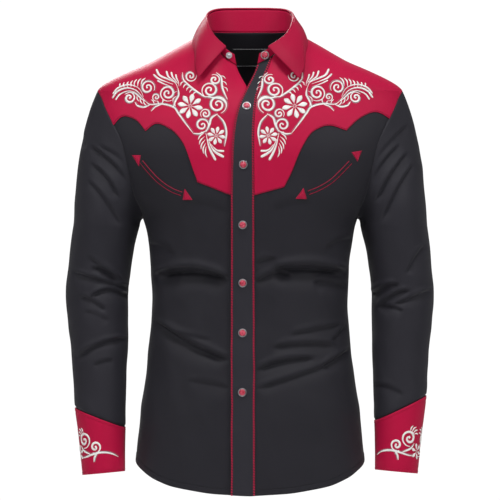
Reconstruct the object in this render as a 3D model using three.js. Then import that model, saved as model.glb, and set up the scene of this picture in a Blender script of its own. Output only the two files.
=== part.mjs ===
// A western snap shirt, filled out as if worn, with nobody in it.
// Millimetres, +Z up. The front faces -Y and the wearer's right is at -X.
// The origin is the middle of the neck, level with the shoulder seams, where a wearer's shoulders hold it up.
import * as THREE from 'three';

// Cloth
const WALL = 1.2;           // one layer of shirting
const STIFF_WALL = 1.6;     // two layers with interlining: collar and cuffs
const SEAM = 0.3;           // gap between two pieces that are sewn together
const STEP = WALL + SEAM;   // how far one layer lies above the next

// Body levels, by row number in the table below
const ARMPIT = 5;
const SHOULDER = 9;
const NECK = 11;

// One row for each level of the body, from the hem to the neck: half width, depth to the front and to the back,
// height at the centre front, at the sides and at the centre back, how square the section is, and how much
// thinner it gets towards the sides.
const BODY = [
  { half: 190, front: 119, back: 124, frontZ: -745, sideZ: -745, backZ: -745, power: 2.3, pinch: 0 },
  { half: 178, front: 116, back: 121, frontZ: -605, sideZ: -605, backZ: -605, power: 2.3, pinch: 0 },
  { half: 166, front: 110, back: 111, frontZ: -522, sideZ: -522, backZ: -522, power: 2.3, pinch: 0 },
  { half: 158.5, front: 105, back: 102, frontZ: -420, sideZ: -420, backZ: -420, power: 2.3, pinch: 0 },
  { half: 164, front: 113, back: 108, frontZ: -335, sideZ: -335, backZ: -335, power: 2.3, pinch: 0 },
  { half: 173, front: 118, back: 114, frontZ: -290, sideZ: -290, backZ: -288, power: 2.3, pinch: 0 },
  { half: 206, front: 121, back: 118, frontZ: -244, sideZ: -246, backZ: -238, power: 2.25, pinch: 0 },
  { half: 234, front: 121, back: 120, frontZ: -192, sideZ: -190, backZ: -184, power: 2.2, pinch: 0.04 },
  { half: 247, front: 115, back: 117, frontZ: -146, sideZ: -132, backZ: -130, power: 2.1, pinch: 0.15 },
  { half: 246, front: 106, back: 108, frontZ: -112, sideZ: -83.5, backZ: -84, power: 2, pinch: 0.3 },
  { half: 151, front: 93, back: 88, frontZ: -72, sideZ: -33, backZ: -34, power: 2.15, pinch: 0.22 },
  { half: 66.5, front: 76, back: 63, frontZ: -38, sideZ: 15, backZ: 17, power: 2.5, pinch: 0 },
];
const PINCH_POWER = 4;      // the sections get thinner towards the shoulders by this power of the sine
const ARMHOLE = [           // half angle of the armhole by level, in radians, before it closes at both ends
  { level: 5, reach: 0.36 }, { level: 6.5, reach: 0.34 }, { level: 7.3, reach: 0.312 },
  { level: 8, reach: 0.236 }, { level: 8.6, reach: 0.174 }, { level: 9, reach: 0.165 },
];
const ARMHOLE_BACK = 0.93;  // the back's share of it
const FRONT_RISE = 2.6;     // the front rises towards the sides by this power of the sine, and the back by 2

// The neck is worn open, so the fronts sink towards the throat.
const OPEN_NECK = { middle: -5.5, spread: 34, depth: 24, from: -128, to: -38 };

// Where the front edges run: distance from the middle at each height.
const RIGHT_EDGE = [
  { z: -745, x: 6 }, { z: -125, x: 6 }, { z: -76, x: -5.6 }, { z: -38, x: -24 },
];
const PLACKET_INNER = [
  { z: -745, x: -30 }, { z: -252, x: -29.8 }, { z: -182, x: -28.5 }, { z: -152, x: -26 },
  { z: -119, x: -19.8 }, { z: -82, x: -5.2 }, { z: -55, x: 8 }, { z: -38, x: 15.5 },
];
const PLACKET_OUTER = [
  { z: -745, x: 8 }, { z: -419, x: 7.3 }, { z: -252, x: 6.3 }, { z: -166, x: 5.9 },
  { z: -131, x: 7.1 }, { z: -103, x: 10.5 }, { z: -46, x: 34 }, { z: -38, x: 38 },
];
const OVERLAP_FADE = 28;    // the lapped front comes down to the body's own line over this distance
const LAP = 3.6;            // how far the lapped front lies off the body's own line

// The curved shirt tail: height of the hem by the angle from the centre, in degrees.
const HEM = [
  { angle: 0, z: -728.5 }, { angle: 27, z: -725.5 }, { angle: 43, z: -720 }, { angle: 53, z: -715 },
  { angle: 61, z: -707.5 }, { angle: 67, z: -701 }, { angle: 73, z: -693 }, { angle: 90, z: -677 },
];

// The scalloped lower edges of the yokes, in runs that meet at a sharp corner.
const SCALLOP_LEFT = [
  [{ x: 9, z: -253.5 }, { x: 54, z: -241 }],
  [{ x: 54, z: -241 }, { x: 66.5, z: -216 }, { x: 82, z: -179 }, { x: 101, z: -152 }, { x: 123, z: -143 },
    { x: 153, z: -150.5 }],
  [{ x: 153, z: -150.5 }, { x: 177, z: -129 }, { x: 199, z: -119.8 }, { x: 216, z: -128.8 }],
];
const SCALLOP_RIGHT = [
  [{ x: -32, z: -253.5 }, { x: -83, z: -233 }],
  [{ x: -83, z: -233 }, { x: -91, z: -211 }, { x: -105, z: -173 }, { x: -125, z: -149.5 },
    { x: -147, z: -139.8 }, { x: -165.8, z: -151.3 }],
  [{ x: -165.8, z: -151.3 }, { x: -181, z: -133.6 }, { x: -199, z: -126.6 }, { x: -222.5, z: -140.5 }],
];
const SCALLOP_BACK = [
  [{ x: 0, z: -232 }, { x: 46, z: -196 }, { x: 84, z: -168 }, { x: 112, z: -163 }, { x: 142, z: -176 }],
  [{ x: 142, z: -176 }, { x: 166, z: -146 }, { x: 194, z: -132 }, { x: 218, z: -138 }],
];

// How finely the panels are cut up.
const LOWER_HEIGHTS = [-640, -590, -545, -510, -482, -455, -430, -411, -397, -383, -356, -322];
const ARM_STEPS = 5;        // armpit to scallop
const HEAD_STEPS = 4;       // scallop to shoulder point
const SLOPE_STEPS = 3;      // shoulder point to neck
const PLACKET_STEPS = 2;
const FRONT_STEPS = [3, 7, 4];
const BACK_STEPS = [6, 5];

// The largest folds of the body: soft troughs from one angle and height to another, in degrees and millimetres.
const BODY_FOLDS = [
  { fromAngle: -88, fromZ: -402, toAngle: -22, toZ: -400, bow: 8, width: 11, depth: 5.5 },
  { fromAngle: -84, fromZ: -478, toAngle: -16, toZ: -535, bow: -4, width: 12, depth: 4.5 },
  { fromAngle: 10, fromZ: -410, toAngle: 88, toZ: -398, bow: 6, width: 11, depth: 5 },
  { fromAngle: 12, fromZ: -545, toAngle: 86, toZ: -490, bow: -8, width: 12, depth: 4.5 },
  { fromAngle: 8, fromZ: -575, toAngle: 80, toZ: -528, bow: -6, width: 12, depth: 3.5 },
  { fromAngle: 112, fromZ: -405, toAngle: 246, toZ: -402, bow: -12, width: 13, depth: 5.5 },
  { fromAngle: 98, fromZ: -470, toAngle: 168, toZ: -500, bow: -5, width: 13, depth: 4.5 },
  { fromAngle: 194, fromZ: -502, toAngle: 262, toZ: -468, bow: -5, width: 13, depth: 4.5 },
];

// One row for each level of a sleeve: height, distance out from the middle, distance back, half width, half depth.
const SLEEVE = [
  { z: -300, out: 233, back: 3, half: 54, depth: 64 },
  { z: -360, out: 243, back: 7, half: 51.2, depth: 61 },
  { z: -420, out: 248, back: 9, half: 50.2, depth: 57 },
  { z: -500, out: 244, back: 3, half: 46.2, depth: 52 },
  { z: -580, out: 242, back: -8, half: 41.3, depth: 46 },
  { z: -650, out: 238.3, back: -18, half: 35.2, depth: 40 },
  { z: -712, out: 235, back: -26, half: 32.2, depth: 36 },
];
const SLEEVE_TOP = SLEEVE[0].z;
const CAP_ROWS = [0, 0.1, 0.26, 0.46, 0.68, 0.86, 1];
const SLEEVE_HEIGHTS = [-326, -352, -378, -404, -428, -452, -480, -515, -555];
const CUFF_INSET = 6;       // how far the sleeve reaches into its cuff
const CUFF_TUCK = 1.6;      // how far its end is drawn in there
// Soft troughs of the sleeves: angle round from the outer edge towards the front, and height.
const SLEEVE_FOLDS = [
  { fromAngle: 20, fromZ: -150, toAngle: 120, toZ: -250, bow: 6, width: 12, depth: 4.5 },
  { fromAngle: 10, fromZ: -200, toAngle: 110, toZ: -300, bow: 6, width: 12, depth: 4 },
  { fromAngle: 20, fromZ: -405, toAngle: 165, toZ: -425, bow: -8, width: 11, depth: 5 },
  { fromAngle: 30, fromZ: -500, toAngle: 160, toZ: -470, bow: 6, width: 11, depth: 3.5 },
  { fromAngle: 200, fromZ: -415, toAngle: 330, toZ: -395, bow: 8, width: 12, depth: 5 },
  { fromAngle: 230, fromZ: -260, toAngle: 340, toZ: -170, bow: 6, width: 12, depth: 4 },
];

// The cuffs: height of the upper seam and of the lower edge, at the outer side and at the inner side.
const CUFFS = {
  right: { topOuter: -594.5, topInner: -626, endOuter: -704, endInner: -696 },
  left: { topOuter: -575, topInner: -615, endOuter: -702, endInner: -692 },
};
const CUFF_COLUMNS = 24;
const CUFF_LAP = 2;         // columns where the cuff's two ends lie on each other
const CUFF_START = 255;     // where the cuff's under end is, in degrees round from the outer edge
const CUFF_ROWS = 3;

// Collar: a stand round the neck and a leaf that turns down over it.
const STAND = { back: 36, front: 15, columns: 40, wall: 1.8, lift: 0.8, slant: 0.3, slantReach: 0.12 };
const LEAF_ROLL = { up: 2.2, out: 2.4 };
const LEAF_START = 0.03;    // how far the leaf starts behind the stand's end
const LEAF_BULGE = { side: 0.6, front: 6 };
// The leaf's lower edge, from the collar point to the side of the neck, then on round the body to the back.
const LEAF_EDGE_LEFT = [
  { share: 0, x: 76, z: -73, clear: 8 }, { share: 0.12, x: 83, z: -56, clear: 7 },
  { share: 0.32, x: 87, z: -26, clear: 4 },
];
const LEAF_EDGE_RIGHT = [
  { share: 0, x: -80, z: -72, clear: 8 }, { share: 0.12, x: -84, z: -54, clear: 6 },
  { share: 0.32, x: -87, z: -26, clear: 3.6 },
];
const LEAF_EDGE_BACK = [
  { share: 0.52, angle: 92, level: 10.76, clear: 2 }, { share: 0.76, angle: 138, level: 10.76, clear: 2.6 },
  { share: 1, angle: 180, level: 10.7, clear: 3.4 },
];
const LEAF_ROWS = 5;

// Snaps down the placket: heights of their middles, and the pearl and its metal rim.
const SNAP_HEIGHTS = [-114.6, -206, -300, -392, -471.5, -565];
const SNAP_LINE = [{ z: -565, x: -12 }, { z: -300, x: -11.2 }, { z: -206, x: -10.6 }, { z: -114.6, x: -5.2 }];
const SNAP = { rim: 6.6, bore: 4.9, height: 2.1, pearl: 4.6, dome: 2.9, sides: 10 };
const CUFF_SNAP_DROPS = [24, 52];   // below the cuff's upper seam

// Smile pockets: a curved welt with an arrowhead at each end, and how far off the body's own line each head lies,
// because the flat faces of the fronts run a little inside that line.
const POCKETS = {
  right: {
    welt: [{ x: -173, z: -200 }, { x: -158.4, z: -217 }, { x: -143.3, z: -232 }, { x: -125, z: -244.5 },
      { x: -108, z: -251.5 }],
    tips: [
      [{ x: -188.5, z: -189 }, { x: -176.5, z: -207.5 }, { x: -173.5, z: -189.5 }],
      [{ x: -90.5, z: -261 }, { x: -103.5, z: -243 }, { x: -107, z: -261 }],
    ],
    lifts: [0.5, 0.5],
  },
  left: {
    welt: [{ x: 92, z: -250 }, { x: 110, z: -242.5 }, { x: 129, z: -231 }, { x: 146, z: -215 },
      { x: 159.5, z: -201 }],
    tips: [
      [{ x: 71.5, z: -259.5 }, { x: 90, z: -259.5 }, { x: 84.5, z: -242 }],
      [{ x: 178.5, z: -182 }, { x: 161, z: -185 }, { x: 171, z: -200 }],
    ],
    lifts: [0.5, -0.45],
  },
};
const WELT_WIDTH = 6.5;
const WELT_STEPS = 10;
const PATCH_LIFT = 0.5;     // how far small pieces lie above the cloth they are sewn to
const PATCH_WALL = 1;

// Label inside the neck, at the centre back.
const LABEL = { halfWidth: 30, top: -8, bottom: -36, wall: 1, inset: 2, columns: 4, rows: 2 };

const COLOURS = {
  black: { color: 0x2d2c31, roughness: 0.72, metalness: 0 },
  crimson: { color: 0xb31c42, roughness: 0.66, metalness: 0 },
  pearl: { color: 0xc6455a, roughness: 0.25, metalness: 0 },
  metal: { color: 0xc9c9cc, roughness: 0.3, metalness: 1 },
  label: { color: 0x17181b, roughness: 0.6, metalness: 0 },
};

const radians = THREE.MathUtils.degToRad;
const lerp = THREE.MathUtils.lerp;
const clamp = THREE.MathUtils.clamp;
const smooth = (value, from, to) => THREE.MathUtils.smoothstep(value, from, to);

// A smooth curve through a column of a table that never swings past its own values.
function curve(rows, from, column) {
  const x = rows.map((row) => row[from]);
  const y = rows.map((row) => row[column]);
  const chord = x.slice(1).map((value, i) => (y[i + 1] - y[i]) / (value - x[i]));
  const slope = y.map((_, i) => {
    if (i === 0) return chord[0];
    if (i === y.length - 1) return chord[i - 1];
    const before = chord[i - 1];
    const after = chord[i];
    return before * after <= 0 ? 0 : (2 * before * after) / (before + after);
  });
  return (at) => {
    let i = 0;
    while (i < x.length - 2 && at > x[i + 1]) i += 1;
    const width = x[i + 1] - x[i];
    const s = clamp((at - x[i]) / width, 0, 1);
    const rise = s * s * (3 - 2 * s);
    const lead = s * (1 - s) * (1 - s) * width * slope[i];
    const trail = s * s * (s - 1) * width * slope[i + 1];
    return lerp(y[i], y[i + 1], rise) + lead + trail;
  };
}

const numbered = BODY.map((row, level) => ({ ...row, level }));
const bodyColumns = Object.fromEntries(
  Object.keys(BODY[0]).map((column) => [column, curve(numbered, 'level', column)]),
);
// The shoulder seam runs nearly straight from the shoulder point to the neck, so it turns a corner there that
// the rest of the body doesn't have.
const CORNER = 0.25;        // 0 is round, 1 is a straight seam
const slopeRows = numbered.slice(SHOULDER);
const slopeHalf = curve(slopeRows, 'level', 'half');
const seamHalf = (level) => (level > SHOULDER ? slopeHalf(level) : bodyColumns.half(level));
const halfAt = (level, sideways = 1) => lerp(bodyColumns.half(level), seamHalf(level), CORNER * sideways ** 8);

// A point of the plain body, by the angle round from the centre front and the level.
function plainBody(angle, level) {
  const c = Math.cos(angle);
  const s = Math.sin(angle);
  const forward = c > 0;
  const thinner = 1 - bodyColumns.pinch(level) * Math.abs(s) ** PINCH_POWER;
  const depth = (forward ? bodyColumns.front : bodyColumns.back)(level) * thinner;
  const power = bodyColumns.power(level);
  const half = halfAt(level, Math.abs(s));
  const radius = (Math.abs(s / half) ** power + Math.abs(c / depth) ** power) ** (-1 / power);
  const middle = (forward ? bodyColumns.frontZ : bodyColumns.backZ)(level);
  const rise = Math.abs(s) ** (forward ? FRONT_RISE : 2);
  return new THREE.Vector3(radius * s, -radius * c, lerp(middle, bodyColumns.sideZ(level), rise));
}

// How far a set of soft folds sinks the cloth at an angle (degrees) and a height.
function foldDepth(folds, angle, z, perDegree) {
  return folds.reduce((sum, fold) => {
    const run = (fold.toAngle - fold.fromAngle) * perDegree;
    const drop = fold.toZ - fold.fromZ;
    const length = Math.hypot(run, drop);
    const across = (angle - fold.fromAngle) * perDegree;
    const along = (across * run + (z - fold.fromZ) * drop) / length;
    const share = along / length;
    const off = ((z - fold.fromZ) * run - across * drop) / length - fold.bow * 4 * share * (1 - share);
    const fade = smooth(share, -0.08, 0.2) * (1 - smooth(share, 0.75, 1.08));
    return sum + fold.depth * fade * Math.exp(-((off / fold.width) ** 2));
  }, 0);
}

function bodyRelief(angle, point) {
  const throat = OPEN_NECK;
  const sunk = throat.depth * smooth(point.z, throat.from, throat.to)
    * Math.exp(-(((point.x - throat.middle) / throat.spread) ** 2));
  const degrees = THREE.MathUtils.radToDeg(angle);
  return -foldDepth(BODY_FOLDS, degrees, point.z, 2.4) - (Math.cos(angle) > 0 ? sunk : 0);
}

const NUDGE = 0.004;
function normalOf(surface, a, b) {
  const across = surface(a + NUDGE, b).sub(surface(a - NUDGE, b));
  const up = surface(a, b + NUDGE).sub(surface(a, b - NUDGE));
  return across.cross(up).normalize();
}

// The body's cloth, folds included, and a layer that lies off it.
function bodySurface(angle, level) {
  const inside = clamp(level, 0, NECK - NUDGE);
  const point = plainBody(angle, inside);
  const normal = normalOf(plainBody, angle, inside);
  return point.addScaledVector(normal, bodyRelief(angle, point));
}

function bodyLayer(angle, level, off) {
  const inside = clamp(level, NUDGE, NECK - 2 * NUDGE);
  return bodySurface(angle, level).addScaledVector(normalOf(bodySurface, angle, inside), off);
}

// The angle and level of the body's point at a distance from the middle and a height, seen from the front or back.
function locate(x, z, behind = false) {
  let angle = behind ? Math.PI - Math.asin(clamp(x / 200, -1, 1)) : Math.asin(clamp(x / 200, -1, 1));
  let level = z > -250 ? 7.5 : 4;
  for (let turn = 0; turn < 40; turn += 1) {
    const here = plainBody(angle, level);
    const byAngle = plainBody(angle + NUDGE, level).sub(here).divideScalar(NUDGE);
    const byLevel = plainBody(angle, level + NUDGE).sub(here).divideScalar(NUDGE);
    const det = byAngle.x * byLevel.z - byAngle.z * byLevel.x;
    const dx = x - here.x;
    const dz = z - here.z;
    angle += clamp((dx * byLevel.z - dz * byLevel.x) / det, -0.15, 0.15);
    level = clamp(level + clamp((byAngle.x * dz - byAngle.z * dx) / det, -0.6, 0.6), 0, NECK - 2 * NUDGE);
  }
  return { angle, level };
}

// The level where the body has a height, at an angle.
function levelAt(angle, z) {
  let low = 0;
  let high = NECK;
  for (let turn = 0; turn < 30; turn += 1) {
    const mid = (low + high) / 2;
    if (plainBody(angle, mid).z < z) low = mid;
    else high = mid;
  }
  return (low + high) / 2;
}

// The angle where the body has a distance from the middle, near the centre front.
function angleAt(x, level) {
  let angle = x / bodyColumns.front(level);
  for (let turn = 0; turn < 12; turn += 1) {
    const here = plainBody(angle, level);
    angle += (x - here.x) / here.length() * 0.9;
  }
  return angle;
}

const edgeCurves = {
  right: curve(RIGHT_EDGE, 'z', 'x'),
  inner: curve(PLACKET_INNER, 'z', 'x'),
  outer: curve(PLACKET_OUTER, 'z', 'x'),
};
const edgeAngle = (edge, level) => angleAt(edgeCurves[edge](bodyColumns.frontZ(level)), level);

// Round the armhole from the shoulder point (0) by the front to the armpit (half a turn) and up the back.
const armLevel = (turn) => ARMPIT + (SHOULDER - ARMPIT) * (1 + Math.cos(turn)) / 2;
const armTurn = (level) => Math.acos(clamp(2 * (level - ARMPIT) / (SHOULDER - ARMPIT) - 1, -1, 1));
const armWidth = curve(ARMHOLE, 'level', 'reach');
function armReach(level, behind) {
  if (level <= ARMPIT || level >= SHOULDER) return 0;
  return armWidth(level) * Math.sin(armTurn(level)) * (behind ? ARMHOLE_BACK : 1);
}

// Where a panel ends at the side: the side seam, the armhole or the shoulder seam.
function sideAngle(level, behind) {
  const reach = armReach(level, behind);
  const seam = SEAM / 2 / halfAt(level);
  return Math.PI / 2 + (behind ? 1 : -1) * (reach + seam);
}

// Each panel gives the angle at a share of its width and a level.
const PANELS = {
  left: {
    start: (level) => edgeAngle('outer', level),
    angle: (share, level) => lerp(edgeAngle('outer', level), sideAngle(level, false), share),
  },
  right: {
    start: (level) => edgeAngle('right', level),
    angle: (share, level) => lerp(edgeAngle('right', level), -sideAngle(level, false), share),
  },
  backLeft: {
    start: () => Math.PI,
    angle: (share, level) => lerp(Math.PI, sideAngle(level, true), share),
  },
  backRight: {
    start: () => Math.PI,
    angle: (share, level) => lerp(Math.PI, 2 * Math.PI - sideAngle(level, true), share),
  },
};

function shareOf(panel, angle, level) {
  const start = panel.angle(0, level);
  return (angle - start) / (panel.angle(1, level) - start);
}

// The scallop's level at each share of a panel's width, and the shares where the panel's columns stand.
function scallopOf(panel, runs, behind, tipLevel) {
  const knots = runs.map((run) => run.map(({ x, z }) => {
    const { angle, level } = locate(x, z, behind);
    return { share: shareOf(panel, angle, level), level };
  }));
  knots[0][0].share = Math.max(0, knots[0][0].share);
  const last = knots[knots.length - 1];
  last[last.length - 1] = { share: 1, level: tipLevel ?? last[last.length - 1].level };
  const parts = knots.map((run) => ({ end: run[run.length - 1].share, level: curve(run, 'share', 'level') }));
  const level = (share) => (parts.find((part) => share <= part.end + 1e-9) ?? parts[parts.length - 1]).level(share);
  return { level, corners: [0, ...parts.map((part) => part.end)] };
}

function columnShares(corners, steps) {
  const shares = [0];
  steps.forEach((count, run) => {
    for (let k = 1; k <= count; k += 1) shares.push(lerp(corners[run], corners[run + 1], k / count));
  });
  return shares;
}

// The levels of a panel's column, from the hem up to the neck.
function columnLevels(angleOf, scallopLevel) {
  const atHem = angleOf(0.3);
  const fromCentre = Math.abs(THREE.MathUtils.radToDeg(Math.asin(clamp(Math.sin(atHem), -1, 1))));
  const hem = levelAt(atHem, curve(HEM, 'angle', 'z')(fromCentre));
  const levels = [hem, ...LOWER_HEIGHTS.map((z) => levelAt(0, z)), ARMPIT];
  const tip = armTurn(scallopLevel);
  for (let k = 1; k <= ARM_STEPS; k += 1) levels.push(armLevel(lerp(Math.PI, tip, k / ARM_STEPS)));
  for (let k = 1; k <= HEAD_STEPS; k += 1) levels.push(armLevel(lerp(tip, 0, k / HEAD_STEPS)));
  for (let k = 1; k <= SLOPE_STEPS; k += 1) levels.push(lerp(SHOULDER, NECK, k / SLOPE_STEPS));
  return levels;
}
const YOKE_ROW = LOWER_HEIGHTS.length + 1 + ARM_STEPS;

// How far the lapped front is lifted over the front beneath it.
function lapLift(angle, level) {
  const beyond = plainBody(angle, level).x - edgeCurves.outer(bodyColumns.frontZ(level));
  return LAP * (1 - smooth(beyond, 0, OVERLAP_FADE));
}

// A grid of places (angle, level, lift), one list for each column.
function gridOf(columns) {
  return columns.map(({ angleOf, scallopLevel, lifted }) => columnLevels(angleOf, scallopLevel).map((level) => {
    const angle = angleOf(level);
    return { angle, level, lift: lifted ? lapLift(angle, level) : 0 };
  }));
}

// A closed wall between two grids of points that face each other. Columns run round, rows run up. Each four-sided
// face is cut along one diagonal, or the other one where mirrored says so, to keep both sides of the shirt alike.
function wallBetween(outer, inner, around = false, mirrored = () => false) {
  const columns = outer.length;
  const rows = outer[0].length;
  const positions = [...outer.flat(), ...inner.flat()].flatMap((point) => [point.x, point.y, point.z]);
  const shift = columns * rows;
  const at = (column, row) => (column % columns) * rows + row;
  const indices = [];
  const quad = (a, b, c, d, other) => (
    other ? indices.push(a, b, d, b, c, d) : indices.push(a, b, c, a, c, d));
  const lastColumn = around ? columns : columns - 1;
  for (let i = 0; i < lastColumn; i += 1) {
    for (let j = 0; j < rows - 1; j += 1) {
      quad(at(i, j), at(i + 1, j), at(i + 1, j + 1), at(i, j + 1), mirrored(i));
      const [p, q, r, s] = [at(i, j), at(i, j + 1), at(i + 1, j + 1), at(i + 1, j)].map((k) => k + shift);
      quad(p, q, r, s, mirrored(i));
    }
    quad(at(i, 0), shift + at(i, 0), shift + at(i + 1, 0), at(i + 1, 0));
    quad(at(i, rows - 1), at(i + 1, rows - 1), shift + at(i + 1, rows - 1), shift + at(i, rows - 1));
  }
  if (!around) {
    for (let j = 0; j < rows - 1; j += 1) {
      quad(at(0, j), at(0, j + 1), shift + at(0, j + 1), shift + at(0, j));
      const end = columns - 1;
      quad(at(end, j), shift + at(end, j), shift + at(end, j + 1), at(end, j + 1));
    }
  }
  const geometry = new THREE.BufferGeometry();
  geometry.setAttribute('position', new THREE.Float32BufferAttribute(positions, 3));
  geometry.setIndex(indices);
  geometry.computeVertexNormals();
  return geometry;
}

// A layer of cloth over part of a grid of places, its underside at a height off the body's own surface.
function layer(grid, under, wall = WALL) {
  const at = (off) => grid.map((column) => column.map(
    ({ angle, level, lift }) => bodyLayer(angle, level, lift + off),
  ));
  return wallBetween(at(under + wall), at(under), false, (i) => Math.sin(grid[i][0].angle) > 0);
}

const shirt = new THREE.Group();
shirt.name = 'western_snap_shirt';

function add(name, geometry, colour) {
  const mesh = new THREE.Mesh(geometry, new THREE.MeshStandardMaterial({ name: colour, ...COLOURS[colour] }));
  mesh.name = name;
  shirt.add(mesh);
}

// Fronts, back, yokes and placket, all on the same columns, so that the layers lie parallel.
const scallops = {
  left: scallopOf(PANELS.left, SCALLOP_LEFT, false),
  right: scallopOf(PANELS.right, SCALLOP_RIGHT, false),
};
const mirrored = SCALLOP_BACK.map((run) => run.map(({ x, z }) => ({ x: -x, z })));
scallops.backLeft = scallopOf(PANELS.backLeft, SCALLOP_BACK, true, scallops.left.level(1));
scallops.backRight = scallopOf(PANELS.backRight, mirrored, true, scallops.right.level(1));

function panelColumns(side, steps, lifted) {
  const panel = PANELS[side];
  const scallop = scallops[side];
  return columnShares(scallop.corners, steps).map((share) => ({
    angleOf: (level) => panel.angle(share, level),
    scallopLevel: scallop.level(share),
    lifted,
  }));
}

function placketColumns() {
  const columns = [];
  for (let k = 0; k < PLACKET_STEPS; k += 1) {
    const share = k / PLACKET_STEPS;
    columns.push({
      angleOf: (level) => lerp(edgeAngle('inner', level), edgeAngle('outer', level), share),
      scallopLevel: scallops.left.level(0),
      lifted: true,
    });
  }
  return columns;
}

const leftGrid = gridOf([...placketColumns(), ...panelColumns('left', FRONT_STEPS, true)]);
const rightGrid = gridOf(panelColumns('right', FRONT_STEPS, false).reverse());
const backLeft = panelColumns('backLeft', BACK_STEPS, false);
const backRight = panelColumns('backRight', BACK_STEPS, false);
const backGrid = gridOf([...backLeft.slice(1).reverse(), ...backRight]);
const yokeRows = (grid) => grid.map((column) => column.slice(YOKE_ROW));

add('front_left', layer(leftGrid, -WALL), 'black');
add('front_right', layer(rightGrid, -WALL), 'black');
add('back', layer(backGrid, -WALL), 'black');
add('yoke_front_right', layer(yokeRows(rightGrid), SEAM), 'crimson');
add('yoke_back', layer(yokeRows(backGrid), SEAM), 'crimson');
add('placket', layer(leftGrid.slice(0, PLACKET_STEPS + 1), SEAM), 'black');

// The left yoke starts beside the placket, a seam's gap from it.
const yokeLeftGrid = yokeRows(leftGrid.slice(PLACKET_STEPS)).map((column, i) => column.map((place) => {
  const gap = i === 0 ? SEAM / bodyColumns.front(place.level) : 0;
  return { ...place, angle: place.angle + gap };
}));
add('yoke_front_left', layer(yokeLeftGrid, SEAM), 'crimson');

// Sleeves. Each starts on the corners of its armhole and runs down to its cuff.
const sleeveColumns = Object.fromEntries(
  Object.keys(SLEEVE[0]).map((column) => [column, curve([...SLEEVE].reverse(), 'z', column)]),
);

// A place on a sleeve's tube below the cap: turn 0 is outwards, a quarter turn is to the front.
function sleeveTube(side, turn, z) {
  const out = sleeveColumns.out(z) + sleeveColumns.half(z) * Math.cos(turn);
  const forward = sleeveColumns.depth(z) * Math.sin(turn) - sleeveColumns.back(z);
  return new THREE.Vector3(side * out, -forward, z);
}

function armholePoint(side, turn) {
  const level = armLevel(turn);
  const ahead = Math.sin(turn) >= 0 ? 1 : -1;
  const reach = armReach(level, ahead < 0);
  const seam = (SEAM / 2 / halfAt(level)) * Math.abs(Math.sin(turn));
  return bodySurface(side * (Math.PI / 2 - ahead * (reach + seam)), level);
}

// A point just inside the armhole, so that the sleeve's edge clears the panels. Beside a yoke it starts level
// with the yoke's outside.
const HEAD_GAP = { panel: 0.5, yoke: 0.9 };
function sleeveHead(side, turn) {
  const here = armholePoint(side, turn);
  const tangent = armholePoint(side, turn + 0.03).sub(armholePoint(side, turn - 0.03));
  const level = clamp(armLevel(turn), NUDGE, NECK);
  const ahead = Math.sin(turn) >= 0 ? 1 : -1;
  const normal = normalOf(bodySurface, side * (Math.PI / 2 - ahead * armReach(level, ahead < 0)), level);
  const into = tangent.cross(normal).normalize().multiplyScalar(-side);
  const upper = smooth(Math.cos(turn), 0.1, 0.6);
  return here.addScaledVector(into, lerp(HEAD_GAP.panel, HEAD_GAP.yoke, upper)).addScaledVector(normal, STEP * upper);
}

// How a sleeve leaves the armhole: outwards and down, at the shoulder, the front and back, and the armpit.
const LEAVE = [
  { turn: 0, out: 0.42, down: 0.91 }, { turn: 90, out: 0.3, down: 0.95 }, { turn: 180, out: 1, down: 0.05 },
];
const leaveOut = curve(LEAVE, 'turn', 'out');
const leaveDown = curve(LEAVE, 'turn', 'down');
const ARM_LEAN = 0.07;      // how far the upper arm leans out for each millimetre down

// The cap between the armhole and the top of the tube.
function sleeveCap(side, turn, share) {
  const start = sleeveHead(side, turn);
  const end = sleeveTube(side, turn, SLEEVE_TOP);
  const span = start.distanceTo(end);
  const degrees = Math.abs(THREE.MathUtils.radToDeg(Math.atan2(Math.sin(turn), Math.cos(turn))));
  const leave = new THREE.Vector3(side * leaveOut(degrees), 0, -leaveDown(degrees)).setLength(span);
  const arrive = new THREE.Vector3(side * ARM_LEAN, 0, -1).setLength(span * 0.9);
  const s = share;
  const blend = s * s * (3 - 2 * s);
  return start.lerp(end, blend)
    .addScaledVector(leave, s * (1 - s) * (1 - s))
    .addScaledVector(arrive, s * s * (s - 1));
}

// A sleeve's surface by turn and run: run 0 to 1 is the cap, and 1 to 2 the tube down to the cuff's end.
const TUBE_LENGTH = SLEEVE_TOP - SLEEVE[SLEEVE.length - 1].z;
const runAt = (z) => 1 + (SLEEVE_TOP - z) / TUBE_LENGTH;
function sleevePlain(side, turn, run) {
  if (run <= 1) return sleeveCap(side, turn, Math.max(run, 0));
  return sleeveTube(side, turn, SLEEVE_TOP - (run - 1) * TUBE_LENGTH);
}

function sleeveNormal(side, turn, run) {
  const inside = clamp(run, 0.03, 1.99);
  const around = sleevePlain(side, turn + 0.02, inside).sub(sleevePlain(side, turn - 0.02, inside));
  const along = sleevePlain(side, turn, inside + 0.01).sub(sleevePlain(side, turn, inside - 0.01));
  return around.cross(along).normalize().multiplyScalar(side);
}

function sleeveLayer(side, turn, run, off) {
  const point = sleevePlain(side, turn, run);
  const degrees = (THREE.MathUtils.radToDeg(turn) + 360) % 360;
  const settled = smooth(run, 0, 0.35);
  const sunk = settled * foldDepth(SLEEVE_FOLDS, degrees, point.z, 0.95);
  return point.addScaledVector(sleeveNormal(side, turn, run), off - sunk);
}

// The height of a cuff's upper seam or lower edge, round the arm.
const cuffTop = (cuff, turn) => lerp(cuff.topInner, cuff.topOuter, (1 + Math.cos(turn)) / 2);
const cuffEnd = (cuff, turn) => lerp(cuff.endInner, cuff.endOuter, (1 + Math.cos(turn)) / 2);

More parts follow.
